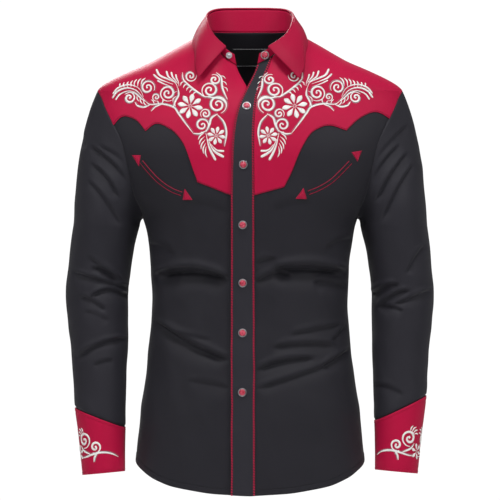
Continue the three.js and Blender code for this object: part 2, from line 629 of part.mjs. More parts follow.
function armTurns(frontTip, backTip) {
  const turns = [];
  const push = (from, to, count) => {
    for (let k = 0; k < count; k += 1) turns.push(lerp(from, to, k / count));
  };
  push(0, frontTip, HEAD_STEPS);
  push(frontTip, Math.PI, ARM_STEPS);
  push(Math.PI, 2 * Math.PI - backTip, ARM_STEPS);
  push(2 * Math.PI - backTip, 2 * Math.PI, HEAD_STEPS);
  return turns;
}

function addSleeve(name, side, cuff, tips) {
  const turns = armTurns(...tips);
  const ordered = side > 0 ? [...turns].reverse() : turns;
  const grid = (off) => ordered.map((turn) => {
    const last = runAt(cuffTop(cuff, turn) - CUFF_INSET);
    const seam = runAt(cuffTop(cuff, turn) + CUFF_INSET / 2);
    const runs = [last, seam, ...[...SLEEVE_HEIGHTS].reverse().map(runAt), ...[...CAP_ROWS].reverse()];
    return runs.map((run, row) => sleeveLayer(side, turn, run, off - (row === 0 ? CUFF_TUCK : 0)));
  });
  add(name, wallBetween(grid(0), grid(-WALL), true, () => side > 0), 'black');
}
const tipTurn = (panel) => armTurn(scallops[panel].level(1));
addSleeve('sleeve_left', 1, CUFFS.left, [tipTurn('left'), tipTurn('backLeft')]);
addSleeve('sleeve_right', -1, CUFFS.right, [tipTurn('right'), tipTurn('backRight')]);

// A cuff is one band that goes round the sleeve's end and laps over its own start.
function cuffOff(column) {
  const rise = smooth(column, CUFF_COLUMNS - 3, CUFF_COLUMNS);
  return SEAM + (STIFF_WALL + SEAM) * rise;
}

function cuffPoint(side, cuff, column, share, off) {
  const turn = radians(CUFF_START + (360 / CUFF_COLUMNS) * column);
  const z = lerp(cuffEnd(cuff, turn), cuffTop(cuff, turn), share);
  return sleeveLayer(side, turn, runAt(z), off);
}

function addCuff(name, side, cuff) {
  const grid = (off) => Array.from({ length: CUFF_COLUMNS + CUFF_LAP + 1 }, (_, column) => (
    Array.from({ length: CUFF_ROWS + 1 }, (_row, j) => (
      cuffPoint(side, cuff, column, j / CUFF_ROWS, cuffOff(column) + off)))));
  const outer = grid(STIFF_WALL);
  const inner = grid(0);
  if (side > 0) {
    outer.reverse();
    inner.reverse();
  }
  add(name, wallBetween(outer, inner), 'crimson');
}
addCuff('cuff_left', 1, CUFFS.left);
addCuff('cuff_right', -1, CUFFS.right);

// Collar stand, from the wearer's left end round the back to the right end.
const neckStart = edgeAngle('inner', NECK - NUDGE);
const neckEnd = 2 * Math.PI + edgeAngle('right', NECK - NUDGE);
const neckAngle = (share) => lerp(neckStart, neckEnd, share);
const UP = new THREE.Vector3(0, 0, 1);

function standFrame(share) {
  const angle = neckAngle(share);
  const lap = angle < Math.PI / 2 ? lapLift(angle, NECK - NUDGE) : 0;
  const base = bodyLayer(angle, NECK, lap + STEP + STAND.lift);
  const ahead = bodySurface(angle + 0.02, NECK).sub(bodySurface(angle - 0.02, NECK));
  const outward = ahead.clone().cross(UP).normalize();
  const toFront = smooth(Math.cos(angle), -0.5, 0.6);
  const height = lerp(STAND.back, STAND.front, smooth(Math.cos(angle), -0.8, 0.3));
  const lean = lerp(0.06, 0.12, smooth(Math.cos(angle), 0.1, 0.9));
  const fromEnd = Math.min(share, 1 - share);
  const slant = STAND.slant * (1 - smooth(fromEnd, 0, STAND.slantReach)) * (share < 0.5 ? 1 : -1);
  const up = UP.clone().addScaledVector(outward, lean).addScaledVector(ahead.normalize(), slant);
  return { base, outward, up, height, toFront };
}

function addStand() {
  const grid = (off) => Array.from({ length: STAND.columns + 1 }, (_, k) => {
    const { base, outward, up, height } = standFrame(k / STAND.columns);
    return [0, 0.5, 1].map((share) => (
      base.clone().addScaledVector(up, share * height).addScaledVector(outward, off)));
  });
  add('collar_stand', wallBetween(grid(STAND.wall / 2), grid(-STAND.wall / 2)), 'crimson');
}
addStand();

// The leaf's lower edge, at a share of the way round from the left point.
function leafHalf(rows, sign) {
  const front = rows.map(({ share, x, z, clear }) => {
    const { angle, level } = locate(x, z);
    return { share, angle: sign * angle, level, clear };
  });
  const back = LEAF_EDGE_BACK.map((row) => ({ ...row, angle: radians(row.angle) }));
  const all = [...front, ...back];
  const at = Object.fromEntries(['angle', 'level', 'clear'].map((column) => [column, curve(all, 'share', column)]));
  return (half) => bodyLayer(sign * at.angle(half), at.level(half), STEP + at.clear(half));
}
const leafLeft = leafHalf(LEAF_EDGE_LEFT, 1);
const leafRight = leafHalf(LEAF_EDGE_RIGHT, -1);
const leafEdge = (share) => (share < 0.5 ? leafLeft(share * 2) : leafRight((1 - share) * 2));

function addLeaf() {
  const centre = (k) => {
    const share = lerp(LEAF_START, 1 - LEAF_START, k / STAND.columns);
    const { base, outward, up, height, toFront } = standFrame(share);
    const top = base.clone().addScaledVector(up, height + SEAM + STIFF_WALL / 2);
    const crest = top.clone().addScaledVector(up, LEAF_ROLL.up).addScaledVector(outward, LEAF_ROLL.out * 0.4);
    const turned = top.clone().addScaledVector(up, LEAF_ROLL.up * 0.4).addScaledVector(outward, LEAF_ROLL.out);
    const edge = leafEdge(k / STAND.columns);
    const bulge = lerp(LEAF_BULGE.side, LEAF_BULGE.front, toFront);
    const rows = [top, crest, turned];
    for (let j = 1; j <= LEAF_ROWS; j += 1) {
      const s = j / LEAF_ROWS;
      rows.push(turned.clone().lerp(edge, s).addScaledVector(outward, bulge * Math.sin(Math.PI * s)));
    }
    return rows;
  };
  const middle = Array.from({ length: STAND.columns + 1 }, (_, k) => centre(k));
  const offset = (off) => middle.map((column, i) => column.map((point, j) => {
    const around = middle[Math.min(i + 1, middle.length - 1)][j].clone().sub(middle[Math.max(i - 1, 0)][j]);
    const along = column[Math.min(j + 1, column.length - 1)].clone().sub(column[Math.max(j - 1, 0)]);
    const normal = around.cross(along).normalize();
    return point.clone().addScaledVector(normal, off);
  }));
  add('collar_leaf', wallBetween(offset(STIFF_WALL / 2), offset(-STIFF_WALL / 2)), 'crimson');
}
addLeaf();

// Small pieces that are sewn flat on the body: a grid of places given by distance and height.
function patch(name, rowsOfPlaces, colour, flip, behind = false, under = PATCH_LIFT, wall = PATCH_WALL) {
  const place = (off) => rowsOfPlaces.map((row) => row.map(({ x, z }) => {
    const { angle, level } = locate(x, z, behind);
    return bodyLayer(angle, level, off);
  }));
  const outer = place(under + wall);
  const inner = place(under);
  add(name, flip ? wallBetween(outer.reverse(), inner.reverse()) : wallBetween(outer, inner), colour);
}

function addPocket(side, { welt, tips, lifts }) {
  const line = new THREE.SplineCurve(welt.map(({ x, z }) => new THREE.Vector2(x, z)));
  const columns = Array.from({ length: WELT_STEPS + 1 }, (_, k) => {
    const middle = line.getPointAt(k / WELT_STEPS);
    const tangent = line.getTangentAt(k / WELT_STEPS);
    return [-1, 1].map((edge) => ({
      x: middle.x - tangent.y * edge * WELT_WIDTH / 2,
      z: middle.y + tangent.x * edge * WELT_WIDTH / 2,
    }));
  });
  patch(`pocket_welt_${side}`, columns, 'crimson', false);
  tips.forEach(([a, b, c], k) => {
    const mid = (p, q) => ({ x: (p.x + q.x) / 2, z: (p.z + q.z) / 2 });
    // Two edges of the arrowhead as two short columns that meet at its point.
    const blunt = 0.06;
    const near = { x: lerp(a.x, b.x, blunt), z: lerp(a.z, b.z, blunt) };
    const far = { x: lerp(a.x, c.x, blunt), z: lerp(a.z, c.z, blunt) };
    const rows = [[near, mid(a, b), b], [far, mid(a, c), c]];
    const turn = (b.x - a.x) * (c.z - a.z) - (b.z - a.z) * (c.x - a.x);
    patch(`pocket_arrow_${side}_${k + 1}`, rows, 'crimson', turn > 0, false, lifts[k]);
  });
}
addPocket('right', POCKETS.right);
addPocket('left', POCKETS.left);

// Snaps: a pearl dome in a metal rim, turned to face along the cloth's normal.
function snapGeometry(profile) {
  return new THREE.LatheGeometry(profile.map(([r, h]) => new THREE.Vector2(r, h)), SNAP.sides);
}

function seat(geometry, point, normal) {
  const turn = new THREE.Quaternion().setFromUnitVectors(new THREE.Vector3(0, 1, 0), normal);
  return geometry.applyQuaternion(turn).translate(point.x, point.y, point.z);
}

function closed(profile) {
  return [...profile, profile[0]];
}

function addSnap(name, point, normal) {
  const { rim, bore, height, pearl, dome } = SNAP;
  const ring = closed([[bore, 0], [rim, 0], [rim - 0.7, height], [bore, height * 0.8]]);
  const cap = [[0, 0], [pearl, 0], [pearl, height * 0.75], [pearl * 0.62, dome * 0.93], [0, dome]];
  add(`${name}_rim`, seat(snapGeometry(ring), point, normal), 'metal');
  add(`${name}_pearl`, seat(snapGeometry(cap), point, normal), 'pearl');
}

const snapX = curve(SNAP_LINE, 'z', 'x');
SNAP_HEIGHTS.forEach((z, k) => {
  const { angle, level } = locate(snapX(z), z);
  const lift = lapLift(angle, level) + SEAM + WALL;
  const normal = normalOf(bodySurface, angle, level);
  addSnap(`snap_front_${k + 1}`, bodyLayer(angle, level, lift + SEAM), normal);
});

[['left', 1], ['right', -1]].forEach(([word, side]) => {
  CUFF_SNAP_DROPS.forEach((drop, k) => {
    const turn = radians(CUFF_START + (360 / CUFF_COLUMNS) * (CUFF_LAP / 2));
    const z = cuffTop(CUFFS[word], turn) - drop;
    const off = cuffOff(CUFF_COLUMNS) + STIFF_WALL + SEAM;
    const point = sleeveLayer(side, turn, runAt(z), off);
    addSnap(`snap_cuff_${word}_${k + 1}`, point, sleeveNormal(side, turn, runAt(z)));
  });
});

// The open neck snap: a stud on the right end of the stand, and a pearl cap on the left end.
function standPoint(share, rise, off) {
  const { base, outward, up, height } = standFrame(share);
  const point = base.clone().addScaledVector(up, rise * height).addScaledVector(outward, off);
  return { point, outward };
}
const STUD = { radius: 5, base: 0.9, post: 2, postHeight: 2.6 };
const STAND_END = 0.024;
const SNAP_GAP = 1;         // a flat snap on a curved stand
const stud = standPoint(1 - STAND_END, 0.5, STAND.wall / 2 + SNAP_GAP);
const studProfile = [[0, 0], [STUD.radius, 0], [STUD.radius, STUD.base], [STUD.post, STUD.base],
  [STUD.post, STUD.postHeight], [0, STUD.postHeight]];
add('snap_neck_stud', seat(snapGeometry(studProfile), stud.point, stud.outward), 'metal');
const neckCap = standPoint(STAND_END, 0.5, STAND.wall / 2 + SNAP_GAP);
addSnap('snap_neck', neckCap.point, neckCap.outward);

// The label, sewn flat inside the back of the neck.
const labelRows = Array.from({ length: LABEL.columns + 1 }, (_, i) => (
  Array.from({ length: LABEL.rows + 1 }, (_row, j) => ({
    x: lerp(LABEL.halfWidth, -LABEL.halfWidth, i / LABEL.columns),
    z: lerp(LABEL.bottom, LABEL.top, j / LABEL.rows),
  }))));
patch('neck_label', labelRows, 'label', false, true, -LABEL.inset - LABEL.wall, LABEL.wall);

export default shirt;
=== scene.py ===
# The looks of a western snap shirt, filled out as if worn, with nobody in it.
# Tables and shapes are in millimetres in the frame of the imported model: +Z up, front at -Y, origin
# at the neck.
import math

import bmesh
import bpy
import numpy as np
from bpy.props import FloatProperty, FloatVectorProperty, IntProperty, PointerProperty
from bpy.types import Operator, Panel, PropertyGroup
from mathutils import Matrix, Vector


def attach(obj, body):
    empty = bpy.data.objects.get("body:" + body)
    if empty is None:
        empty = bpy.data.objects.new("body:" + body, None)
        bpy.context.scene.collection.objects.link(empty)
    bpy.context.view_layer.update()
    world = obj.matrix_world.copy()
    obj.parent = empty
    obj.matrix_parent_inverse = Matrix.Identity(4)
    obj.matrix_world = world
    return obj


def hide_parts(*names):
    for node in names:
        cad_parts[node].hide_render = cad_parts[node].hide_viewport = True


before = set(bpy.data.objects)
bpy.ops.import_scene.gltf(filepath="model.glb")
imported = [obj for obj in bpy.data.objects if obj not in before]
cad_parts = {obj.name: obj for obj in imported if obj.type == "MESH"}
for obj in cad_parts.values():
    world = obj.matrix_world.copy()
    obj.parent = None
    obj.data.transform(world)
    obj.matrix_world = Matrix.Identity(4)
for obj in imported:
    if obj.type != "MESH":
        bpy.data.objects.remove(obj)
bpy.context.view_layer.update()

bl_info = {
    "name": "Western Snap Shirt",
    "version": (1, 0, 0),
    "blender": (4, 5, 0),
    "location": "View3D > Sidebar > Shirt",
    "description": "Builds the cloth, trim and snaps of a western shirt",
    "category": "Add Mesh",
}

MM = 0.001

# Cloth
WALL = 1.2
STIFF_WALL = 1.6
SEAM = 0.3
STEP = WALL + SEAM

# Levels of the body, by row of the table below
ARMPIT = 5
SHOULDER = 9
NECK = 11

BODY_COLUMNS = ("half", "front", "back", "front_z", "side_z", "back_z", "power", "pinch")
BODY = [
    (190, 119, 124, -745, -745, -745, 2.3, 0),
    (178, 116, 121, -605, -605, -605, 2.3, 0),
    (166, 110, 111, -522, -522, -522, 2.3, 0),
    (158.5, 105, 102, -420, -420, -420, 2.3, 0),
    (164, 113, 108, -335, -335, -335, 2.3, 0),
    (173, 118, 114, -290, -290, -288, 2.3, 0),
    (206, 121, 118, -244, -246, -238, 2.25, 0),
    (234, 121, 120, -192, -190, -184, 2.2, 0.04),
    (247, 115, 117, -146, -132, -130, 2.1, 0.15),
    (246, 106, 108, -112, -83.5, -84, 2, 0.3),
    (151, 93, 88, -72, -33, -34, 2.15, 0.22),
    (66.5, 76, 63, -38, 15, 17, 2.5, 0),
]
PINCH_POWER = 4
FRONT_RISE = 2.6
CORNER = 0.25
ARMHOLE = [(5, 0.36), (6.5, 0.34), (7.3, 0.312), (8, 0.236), (8.6, 0.174), (9, 0.165)]
ARMHOLE_BACK = 0.93
OPEN_NECK = {"middle": -5.5, "spread": 34, "depth": 24, "low": -128, "high": -38}
FACING = (0.02, 0.3)
CALM = {"least": 0.35, "low": -300, "high": -180}
WAVE_SHIFT = {"body": 90, "sleeve": 40}

# Front edges: height and distance from the middle
RIGHT_EDGE = [(-745, 6), (-125, 6), (-76, -5.6), (-38, -24)]
PLACKET_INNER = [(-745, -30), (-252, -29.8), (-182, -28.5), (-152, -26), (-119, -19.8), (-82, -5.2), (-55, 8),
                 (-38, 15.5)]
PLACKET_OUTER = [
    (-745, 8), (-419, 7.3), (-252, 6.3), (-166, 5.9), (-131, 7.1), (-103, 10.5), (-46, 34), (-38, 38),
]
OVERLAP_FADE = 28
LAP = 3.6

# Hem: degrees from the centre and height
HEM = [(0, -728.5), (27, -725.5), (43, -720), (53, -715), (61, -707.5), (67, -701), (73, -693), (90, -677)]

# Scalloped lower edges of the yokes: distance from the middle and height, in runs that meet at a corner
SCALLOPS = {
    "left": [
        [(9, -253.5), (54, -241)],
        [(54, -241), (66.5, -216), (82, -179), (101, -152), (123, -143), (153, -150.5)],
        [(153, -150.5), (177, -129), (199, -119.8), (216, -128.8)],
    ],
    "right": [
        [(-32, -253.5), (-83, -233)],
        [(-83, -233), (-91, -211), (-105, -173), (-125, -149.5), (-147, -139.8), (-165.8, -151.3)],
        [(-165.8, -151.3), (-181, -133.6), (-199, -126.6), (-222.5, -140.5)],
    ],
    "back_left": [
        [(0, -232), (46, -196), (84, -168), (112, -163), (142, -176)],
        [(142, -176), (166, -146), (194, -132), (218, -138)],
    ],
}
SCALLOPS["back_right"] = [[(-x, z) for x, z in run] for run in SCALLOPS["back_left"]]
QUARTERS = ("left", "right", "back_left", "back_right")
SIDES = (("left", 1), ("right", -1))

# Folds of the cloth, seen from the front or from behind. Columns: x and z of the first end, x and z of
# the other end, how far the line bows, half width, depth
FRONT_FOLDS = [
    (-155, -382, -32, -389, 9, 6.6, 12),
    (-154, -454, -32, -515, -7, 5.2, 7.6),
    (-132, -469, -60, -483, -1, 3.2, 1.8),
    (-99, -548, -32, -559, 1, 4.5, 2),
    (34, -372, 160, -377, 2, 7, 12),
    (7, -390, 68, -381, 5, 4.4, 5),
    (104, -392, 158, -401, 3, 4.2, 4.6),
    (8, -361, 41, -354, 1, 4, 2.4),
    (61, -475, 150, -459, -1, 4, 2.6),
    (34, -495, 139, -493, 3, 4.4, 4),
    (9, -530, 105, -512, 4, 4.6, 5.2),
    (8, -560, 132, -520, -3, 4.4, 3.6),
    (116, -525, 161, -501, -2, 4, 5),
    (132, -485, 154, -462, -2, 3.6, 2.4),
    (-165, -330, -120, -348, 3, 6, 2.2),
    (120, -338, 168, -322, 3, 6, 2.2),
    (-100, -268, -34, -282, 3, 9, 1.6),
    (34, -280, 100, -266, 3, 9, 1.6),
]
BACK_FOLDS = [
    (-164, -388, -24, -404, -8, 6.5, 10.0),
    (20, -410, 166, -386, -8, 6.5, 9.5),
    (-64, -380, 72, -374, 5, 6, 5.9),
    (-166, -440, -36, -512, 5, 7, 7.3),
    (34, -518, 166, -446, 5, 7, 7.3),
    (-120, -468, 40, -446, 6, 6, 5.4),
    (-96, -560, -34, -640, 4, 12, 4.1),
    (40, -560, 92, -650, -4, 12, 4.1),
    (-74, -250, -48, -356, 3, 10, 3.5),
    (58, -246, 42, -360, 3, 10, 3.5),
]
SLEEVE_FRONT_FOLDS = {
    "right": [
        (-258, -173, -188, -237, 3, 3.6, 4),
        (-243, -173, -193, -204, 2, 3.4, 2.8),
        (-257, -200, -209, -258, 4, 3.6, 3.4),
        (-262, -227, -206, -303, 3, 3.8, 2.6),
        (-283, -138, -262, -177, 1, 4, 2),
        (-260, -350, -203, -397, 0, 3.6, 2.6),
        (-255, -368, -208, -392, 4, 3.8, 4),
        (-286, -375, -192, -402, -2, 3.6, 4.6),
        (-258, -416, -190, -416, 10, 3.8, 4.8),
        (-274, -414, -230, -438, 2, 3.6, 3.2),
        (-266, -439, -226, -455, 2, 3.8, 1.8),
        (-281, -516, -197, -483, 7, 3.6, 4.4),
        (-251, -525, -219, -517, 1, 3.6, 2.2),
    ],
    "left": [
        (256, -138, 192, -206, 2, 3.6, 3.8),
        (242, -170, 188, -236, 2, 3.6, 4.2),
        (254, -183, 200, -264, 2, 3.6, 4),
        (265, -199, 210, -296, 2, 3.6, 3.4),
        (207, -156, 197, -177, 1, 3.4, 2.4),
        (282, -332, 251, -379, 2, 3.6, 2.8),
        (192, -414, 239, -394, 3, 3.8, 4.2),
        (205, -433, 258, -404, 5, 3.8, 4.4),
        (228, -428, 292, -404, -2, 3.6, 4),
        (203, -432, 246, -439, 3, 3.6, 3.4),
        (198, -557, 246, -573, 3, 4, 2),
    ],
}
SLEEVE_BACK_FOLDS = {
    "right": [
        (-262, -140, -200, -226, 5, 8, 4.2),
        (-280, -210, -214, -292, 5, 8, 4.2),
        (-292, -392, -210, -376, 6, 7, 3.9),
        (-288, -430, -216, -446, 5, 6, 3.3),
        (-282, -510, -216, -482, 5, 8, 3.3),
    ],
    "left": [
        (262, -138, 202, -230, 5, 8, 4.2),
        (280, -208, 216, -288, 5, 8, 4.2),
        (292, -390, 210, -378, 6, 7, 3.9),
        (288, -434, 214, -442, 5, 6, 3.3),
        (280, -506, 218, -486, 5, 8, 3.3),
    ],
}

# Sleeve levels, from the top down
SLEEVE_COLUMNS = ("z", "out", "back", "half", "depth")
SLEEVE = [
    (-300, 233, 3, 54, 64),
    (-360, 243, 7, 51.2, 61),
    (-420, 248, 9, 50.2, 57),
    (-500, 244, 3, 46.2, 52),
    (-580, 242, -8, 41.3, 46),
    (-650, 238.3, -18, 35.2, 40),
    (-712, 235, -26, 32.2, 36),
]
SLEEVE_TOP = -300
SLEEVE_END = -712
HEAD_GAP = {"panel": 0.5, "yoke": 0.9}
LEAVE = [(0, 0.42, 0.91), (90, 0.3, 0.95), (180, 1, 0.05)]
ARM_LEAN = 0.07
ARRIVE = 0.9
TUCK = {"under": 3.2, "sink": 1.9}

# Cuffs: upper seam and lower edge at the outer and at the inner side
CUFFS = {
    "right": {"top_outer": -594.5, "top_inner": -626, "end_outer": -702.6, "end_inner": -696.4},
    "left": {"top_outer": -575, "top_inner": -615, "end_outer": -700.2, "end_inner": -694},
}
CUFF_START = 255
CUFF_TURN = 390
CUFF_INSET = 6
CUFF_RISE = 2.4
CUFF_SNAP_DROPS = (24, 52)
CUFF_SNAP_TURN = 15.0
PUFF = {"height": 1.9, "above": 6, "reach": 18}
SLEEVE_FACING = (-0.1, 0.25)
CUFF_CALM = 0.75

# Collar
STAND = {
    "back": 36.4, "corner": 2.8, "front": 15, "wall": 1.8, "lift": 0.8, "slant": 0.3, "slant_reach": 0.12,
}
LEAF_ROLL = {"up": 2.2, "out": 2.4, "turn": 0.8}
LEAF_GRID = {"columns": 150, "roll": 9, "rows": 26}
LEAF_START = 0.03
LEAF_BULGE = {"side": 0.6, "front": 7.5}
LEAF_EDGE_LEFT = [(0, 76, -73, 10), (0.12, 83, -56, 8), (0.32, 87, -26, 4)]
LEAF_EDGE_RIGHT = [(0, -80, -72, 10), (0.12, -84, -54, 7.5), (0.32, -87, -26, 3.6)]
LEAF_EDGE_BACK = [(0.52, 92, 10.76, 2), (0.76, 138, 10.76, 2.6), (1, 180, 10.7, 3.4)]

# Snaps
SNAP_HEIGHTS = (-114.6, -206, -300, -392, -471.5, -565)
SNAP_LINE = [(-565, -12), (-300, -11.2), (-206, -10.6), (-114.6, -5.2)]
STAND_END = 0.024
SNAP_GAP = 1

# Smile pockets: the line of the welt, and the corners of its arrowheads with the point first
POCKETS = {
    "right": {
        "welt": [(-173, -200), (-158.4, -217), (-143.3, -232), (-125, -244.5), (-108, -251.5)],
        "tips": [
            [(-176.5, -207.5), (-188.5, -189), (-173.5, -189.5)],
            [(-103.5, -243), (-90.5, -261), (-107, -261)],
        ],
    },
    "left": {
        "welt": [(92, -250), (110, -242.5), (129, -231), (146, -215), (159.5, -201)],
        "tips": [
            [(84.5, -242), (71.5, -259.5), (90, -259.5)],
            [(171, -200), (178.5, -182), (161, -185)],
        ],
    },
}

LABEL = {"half_width": 30, "top": -8, "bottom": -36, "wall": 1, "inset": 2}


def srgb(red, green, blue):
    """A colour picked from 0 to 255 as the linear values that shaders take."""
    def channel(value):
        share = value / 255
        return share / 12.92 if share <= 0.04045 else ((share + 0.055) / 1.055) ** 2.4
    return channel(red), channel(green), channel(blue)


# Helpers for curves and grids

def smooth(value, low, high):
    share = np.clip((np.asarray(value, float) - low) / (high - low), 0, 1)
    return share * share * (3 - 2 * share)


def lerp(low, high, share):
    return low + (high - low) * share


def bell(value, middle, half):
    return np.exp(-(((value - middle) / half) ** 2))


def curve(x, y):
    """A smooth curve through a table that never swings past its own values."""
    x = np.asarray(x, float)
    y = np.asarray(y, float)
    chord = np.diff(y) / np.diff(x)
    slope = np.zeros_like(y)
    slope[0] = chord[0]
    slope[-1] = chord[-1]
    for i in range(1, len(y) - 1):
        before, after = chord[i - 1], chord[i]
        slope[i] = 0 if before * after <= 0 else 2 * before * after / (before + after)

    def at(value):
        value = np.asarray(value, float)
        i = np.searchsorted(x[1:-1], value, side="left")
        width = x[i + 1] - x[i]
        s = np.clip((value - x[i]) / width, 0, 1)
        rise = s * s * (3 - 2 * s)
        lead = s * (1 - s) ** 2 * width * slope[i]
        trail = s * s * (s - 1) * width * slope[i + 1]
        return lerp(y[i], y[i + 1], rise) + lead + trail
    return at


def curve_of(table, column=1):
    return curve([row[0] for row in table], [row[column] for row in table])


def unit(vectors):
    return vectors / np.maximum(np.linalg.norm(vectors, axis=-1, keepdims=True), 1e-9)


def beside(line):
    """Directions to the left of a flat line."""
    ahead = unit(np.gradient(line, axis=0))
    return np.stack([-ahead[:, 1], ahead[:, 0]], -1)


def along(points):
    """Distance from the first point to each point of a line."""
    steps = np.linalg.norm(np.diff(points, axis=0), axis=-1)
    return np.concatenate([[0], np.cumsum(steps)])


def edged(low, high, count, border=0.004):
    """Even steps from low to high, with one more close to each end for the rounded edge."""
    inner = np.linspace(low, high, count)
    near = (high - low) * border
    return np.concatenate([[low, low + near], inner[1:-1], [high - near, high]])


# The body's surface

LEVELS = list(range(len(BODY)))
BODY_AT = {name: curve(LEVELS, [row[k] for row in BODY]) for k, name in enumerate(BODY_COLUMNS)}
SEAM_HALF = curve(LEVELS[SHOULDER:], [row[0] for row in BODY[SHOULDER:]])
ARM_WIDTH = curve_of(ARMHOLE)
EDGES = {"right": curve_of(RIGHT_EDGE), "inner": curve_of(PLACKET_INNER), "outer": curve_of(PLACKET_OUTER)}
HEM_AT = curve_of(HEM)
NUDGE = 0.004

# The search for a place on the body: first guess, longest steps and the error that ends it
GUESS = {"half": 200, "split": -250, "upper": 7.5, "lower": 4.0}
MOST_TURN = 0.15
MOST_CLIMB = 0.6
NEAR_ENOUGH = 0.01


def half_at(level, sideways=1.0):
    plain = BODY_AT["half"](level)
    seam = np.where(level > SHOULDER, SEAM_HALF(np.maximum(level, SHOULDER)), plain)
    return lerp(plain, seam, CORNER * sideways ** 8)


def plain_body(angle, level):
    angle, level = np.broadcast_arrays(np.asarray(angle, float), np.asarray(level, float))
    c = np.cos(angle)
    s = np.abs(np.sin(angle))
    forward = c > 0
    thinner = 1 - BODY_AT["pinch"](level) * s ** PINCH_POWER
    depth = np.where(forward, BODY_AT["front"](level), BODY_AT["back"](level)) * thinner
    power = BODY_AT["power"](level)
    radius = ((s / half_at(level, s)) ** power + (np.abs(c) / depth) ** power) ** (-1 / power)
    middle = np.where(forward, BODY_AT["front_z"](level), BODY_AT["back_z"](level))
    rise = s ** np.where(forward, FRONT_RISE, 2)
    z = lerp(middle, BODY_AT["side_z"](level), rise)
    return np.stack([radius * np.sin(angle), -radius * c, z], axis=-1)


def troughs(table, x, z):
    """How far a set of soft folds sinks the cloth at each place. Each has a lower ridge above it."""
    sunk = np.zeros(np.broadcast(x, z).shape)
    for x0, z0, x1, z1, bow, width, depth in table:
        run, drop = x1 - x0, z1 - z0
        length = math.hypot(run, drop)
        share = ((x - x0) * run + (z - z0) * drop) / length ** 2
        off = ((z - z0) * run - (x - x0) * drop) / length * math.copysign(1, run)
        off = off - bow * 4 * share * (1 - share)
        fade = smooth(share, *FOLD_FADE["in"]) * (1 - smooth(share, *FOLD_FADE["out"]))
        swell = np.sin(math.pi * np.clip(share, 0, 1))
        narrow = width * (FOLD_NARROW["ends"] + FOLD_NARROW["middle"] * swell)
        reach = narrow * np.where(off > 0, FOLD_REACH["above"], FOLD_REACH["below"])
        trough = np.exp(-np.abs(off / reach) ** FOLD_POWER)
        ridge = RIDGE["height"] * bell(off, RIDGE["off"] * narrow, RIDGE["half"] * narrow)
        sunk = sunk + depth * fade * (trough - ridge)
    return sunk


# Shape of a fold: where it fades along its length, its reach on both sides, and the ridge above it
FOLD_FADE = {"in": (-0.02, 0.16), "out": (0.82, 1.02)}
FOLD_NARROW = {"ends": 0.7, "middle": 0.5}
FOLD_REACH = {"above": 0.6, "below": 2.3}
FOLD_POWER = 1.35
RIDGE = {"height": 0.3, "off": 1.6, "half": 1.1}

# Slow waves of hanging cloth: wave numbers across and up per metre, phase, height in millimetres
WAVES = [
    (34, 9, 0.4, 0.36), (-21, 17, 2.1, 0.34), (13, -38, 4.0, 0.26), (47, 26, 1.3, 0.16),
    (-58, 33, 5.2, 0.12), (22, 61, 3.3, 0.1), (83, -21, 0.9, 0.06), (-71, -77, 2.7, 0.05),
]
WAVE_NUMBER = 2.4


def undulation(x, z, shift=0.0):
    """Slow unevenness of hanging cloth."""
    total = 0.0
    for across, up, phase, height in WAVES:
        turn = (x * across + z * up) * MM * WAVE_NUMBER + phase + shift
        total = total + height * np.sin(turn + 0.8 * np.sin(turn * 0.37 + phase))
    return total


def body_relief(angle, point):
    """How far the worn cloth stands off the plain body: folds, waves and the open neck's hollow."""
    x, z = point[..., 0], point[..., 2]
    c = np.cos(angle)
    folds = smooth(c, *FACING) * troughs(FRONT_FOLDS, x, z) + smooth(-c, *FACING) * troughs(BACK_FOLDS, x, z)
    throat = OPEN_NECK["depth"] * smooth(z, OPEN_NECK["low"], OPEN_NECK["high"])
    throat = throat * bell(x, OPEN_NECK["middle"], OPEN_NECK["spread"])
    calm = lerp(CALM["least"], 1, 1 - smooth(z, CALM["low"], CALM["high"]))
    waves = calm * undulation(x + WAVE_SHIFT["body"] * c, z)
    return -folds * folds_scale() + waves - np.where(c > 0, throat, 0)


def folds_scale():
    return bpy.context.scene.shirt_sizes.fold_depth


def normal_of(surface, a, b, step_a=NUDGE, step_b=NUDGE):
    across = surface(a + step_a, b) - surface(a - step_a, b)
    up = surface(a, b + step_b) - surface(a, b - step_b)
    return unit(np.cross(across, up))


def body_surface(angle, level):
    level = np.clip(level, 0, NECK - NUDGE)
    point = plain_body(angle, level)
    normal = normal_of(plain_body, angle, level)
    return point + normal * body_relief(angle, point)[..., None]


def body_normal(angle, level):
    return normal_of(body_surface, angle, np.clip(level, NUDGE, NECK - 2 * NUDGE))


def body_layer(angle, level, off):
    off = np.asarray(off, float)[..., None]
    return body_surface(angle, level) + body_normal(angle, level) * off


def locate(x, z, behind=False):
    """Angle and level of the body's points at distances from the middle and heights."""
    x, z = np.broadcast_arrays(np.asarray(x, float), np.asarray(z, float))
    angle = np.arcsin(np.clip(x / GUESS["half"], -1, 1))
    if behind:
        angle = math.pi - angle
    level = np.where(z > GUESS["split"], GUESS["upper"], GUESS["lower"])
    for _ in range(40):
        here = plain_body(angle, level)
        by_angle = (plain_body(angle + NUDGE, level) - here) / NUDGE
        by_level = (plain_body(angle, level + NUDGE) - here) / NUDGE
        det = by_angle[..., 0] * by_level[..., 2] - by_angle[..., 2] * by_level[..., 0]
        dx = x - here[..., 0]
        dz = z - here[..., 2]
        turn = (dx * by_level[..., 2] - dz * by_level[..., 0]) / det
        climb = (by_angle[..., 0] * dz - by_angle[..., 2] * dx) / det
        angle = angle + np.clip(turn, -MOST_TURN, MOST_TURN)
        level = np.clip(level + np.clip(climb, -MOST_CLIMB, MOST_CLIMB), 0, NECK - 2 * NUDGE)
        if max(np.abs(dx).max(), np.abs(dz).max()) < NEAR_ENOUGH:
            break
    return angle, level


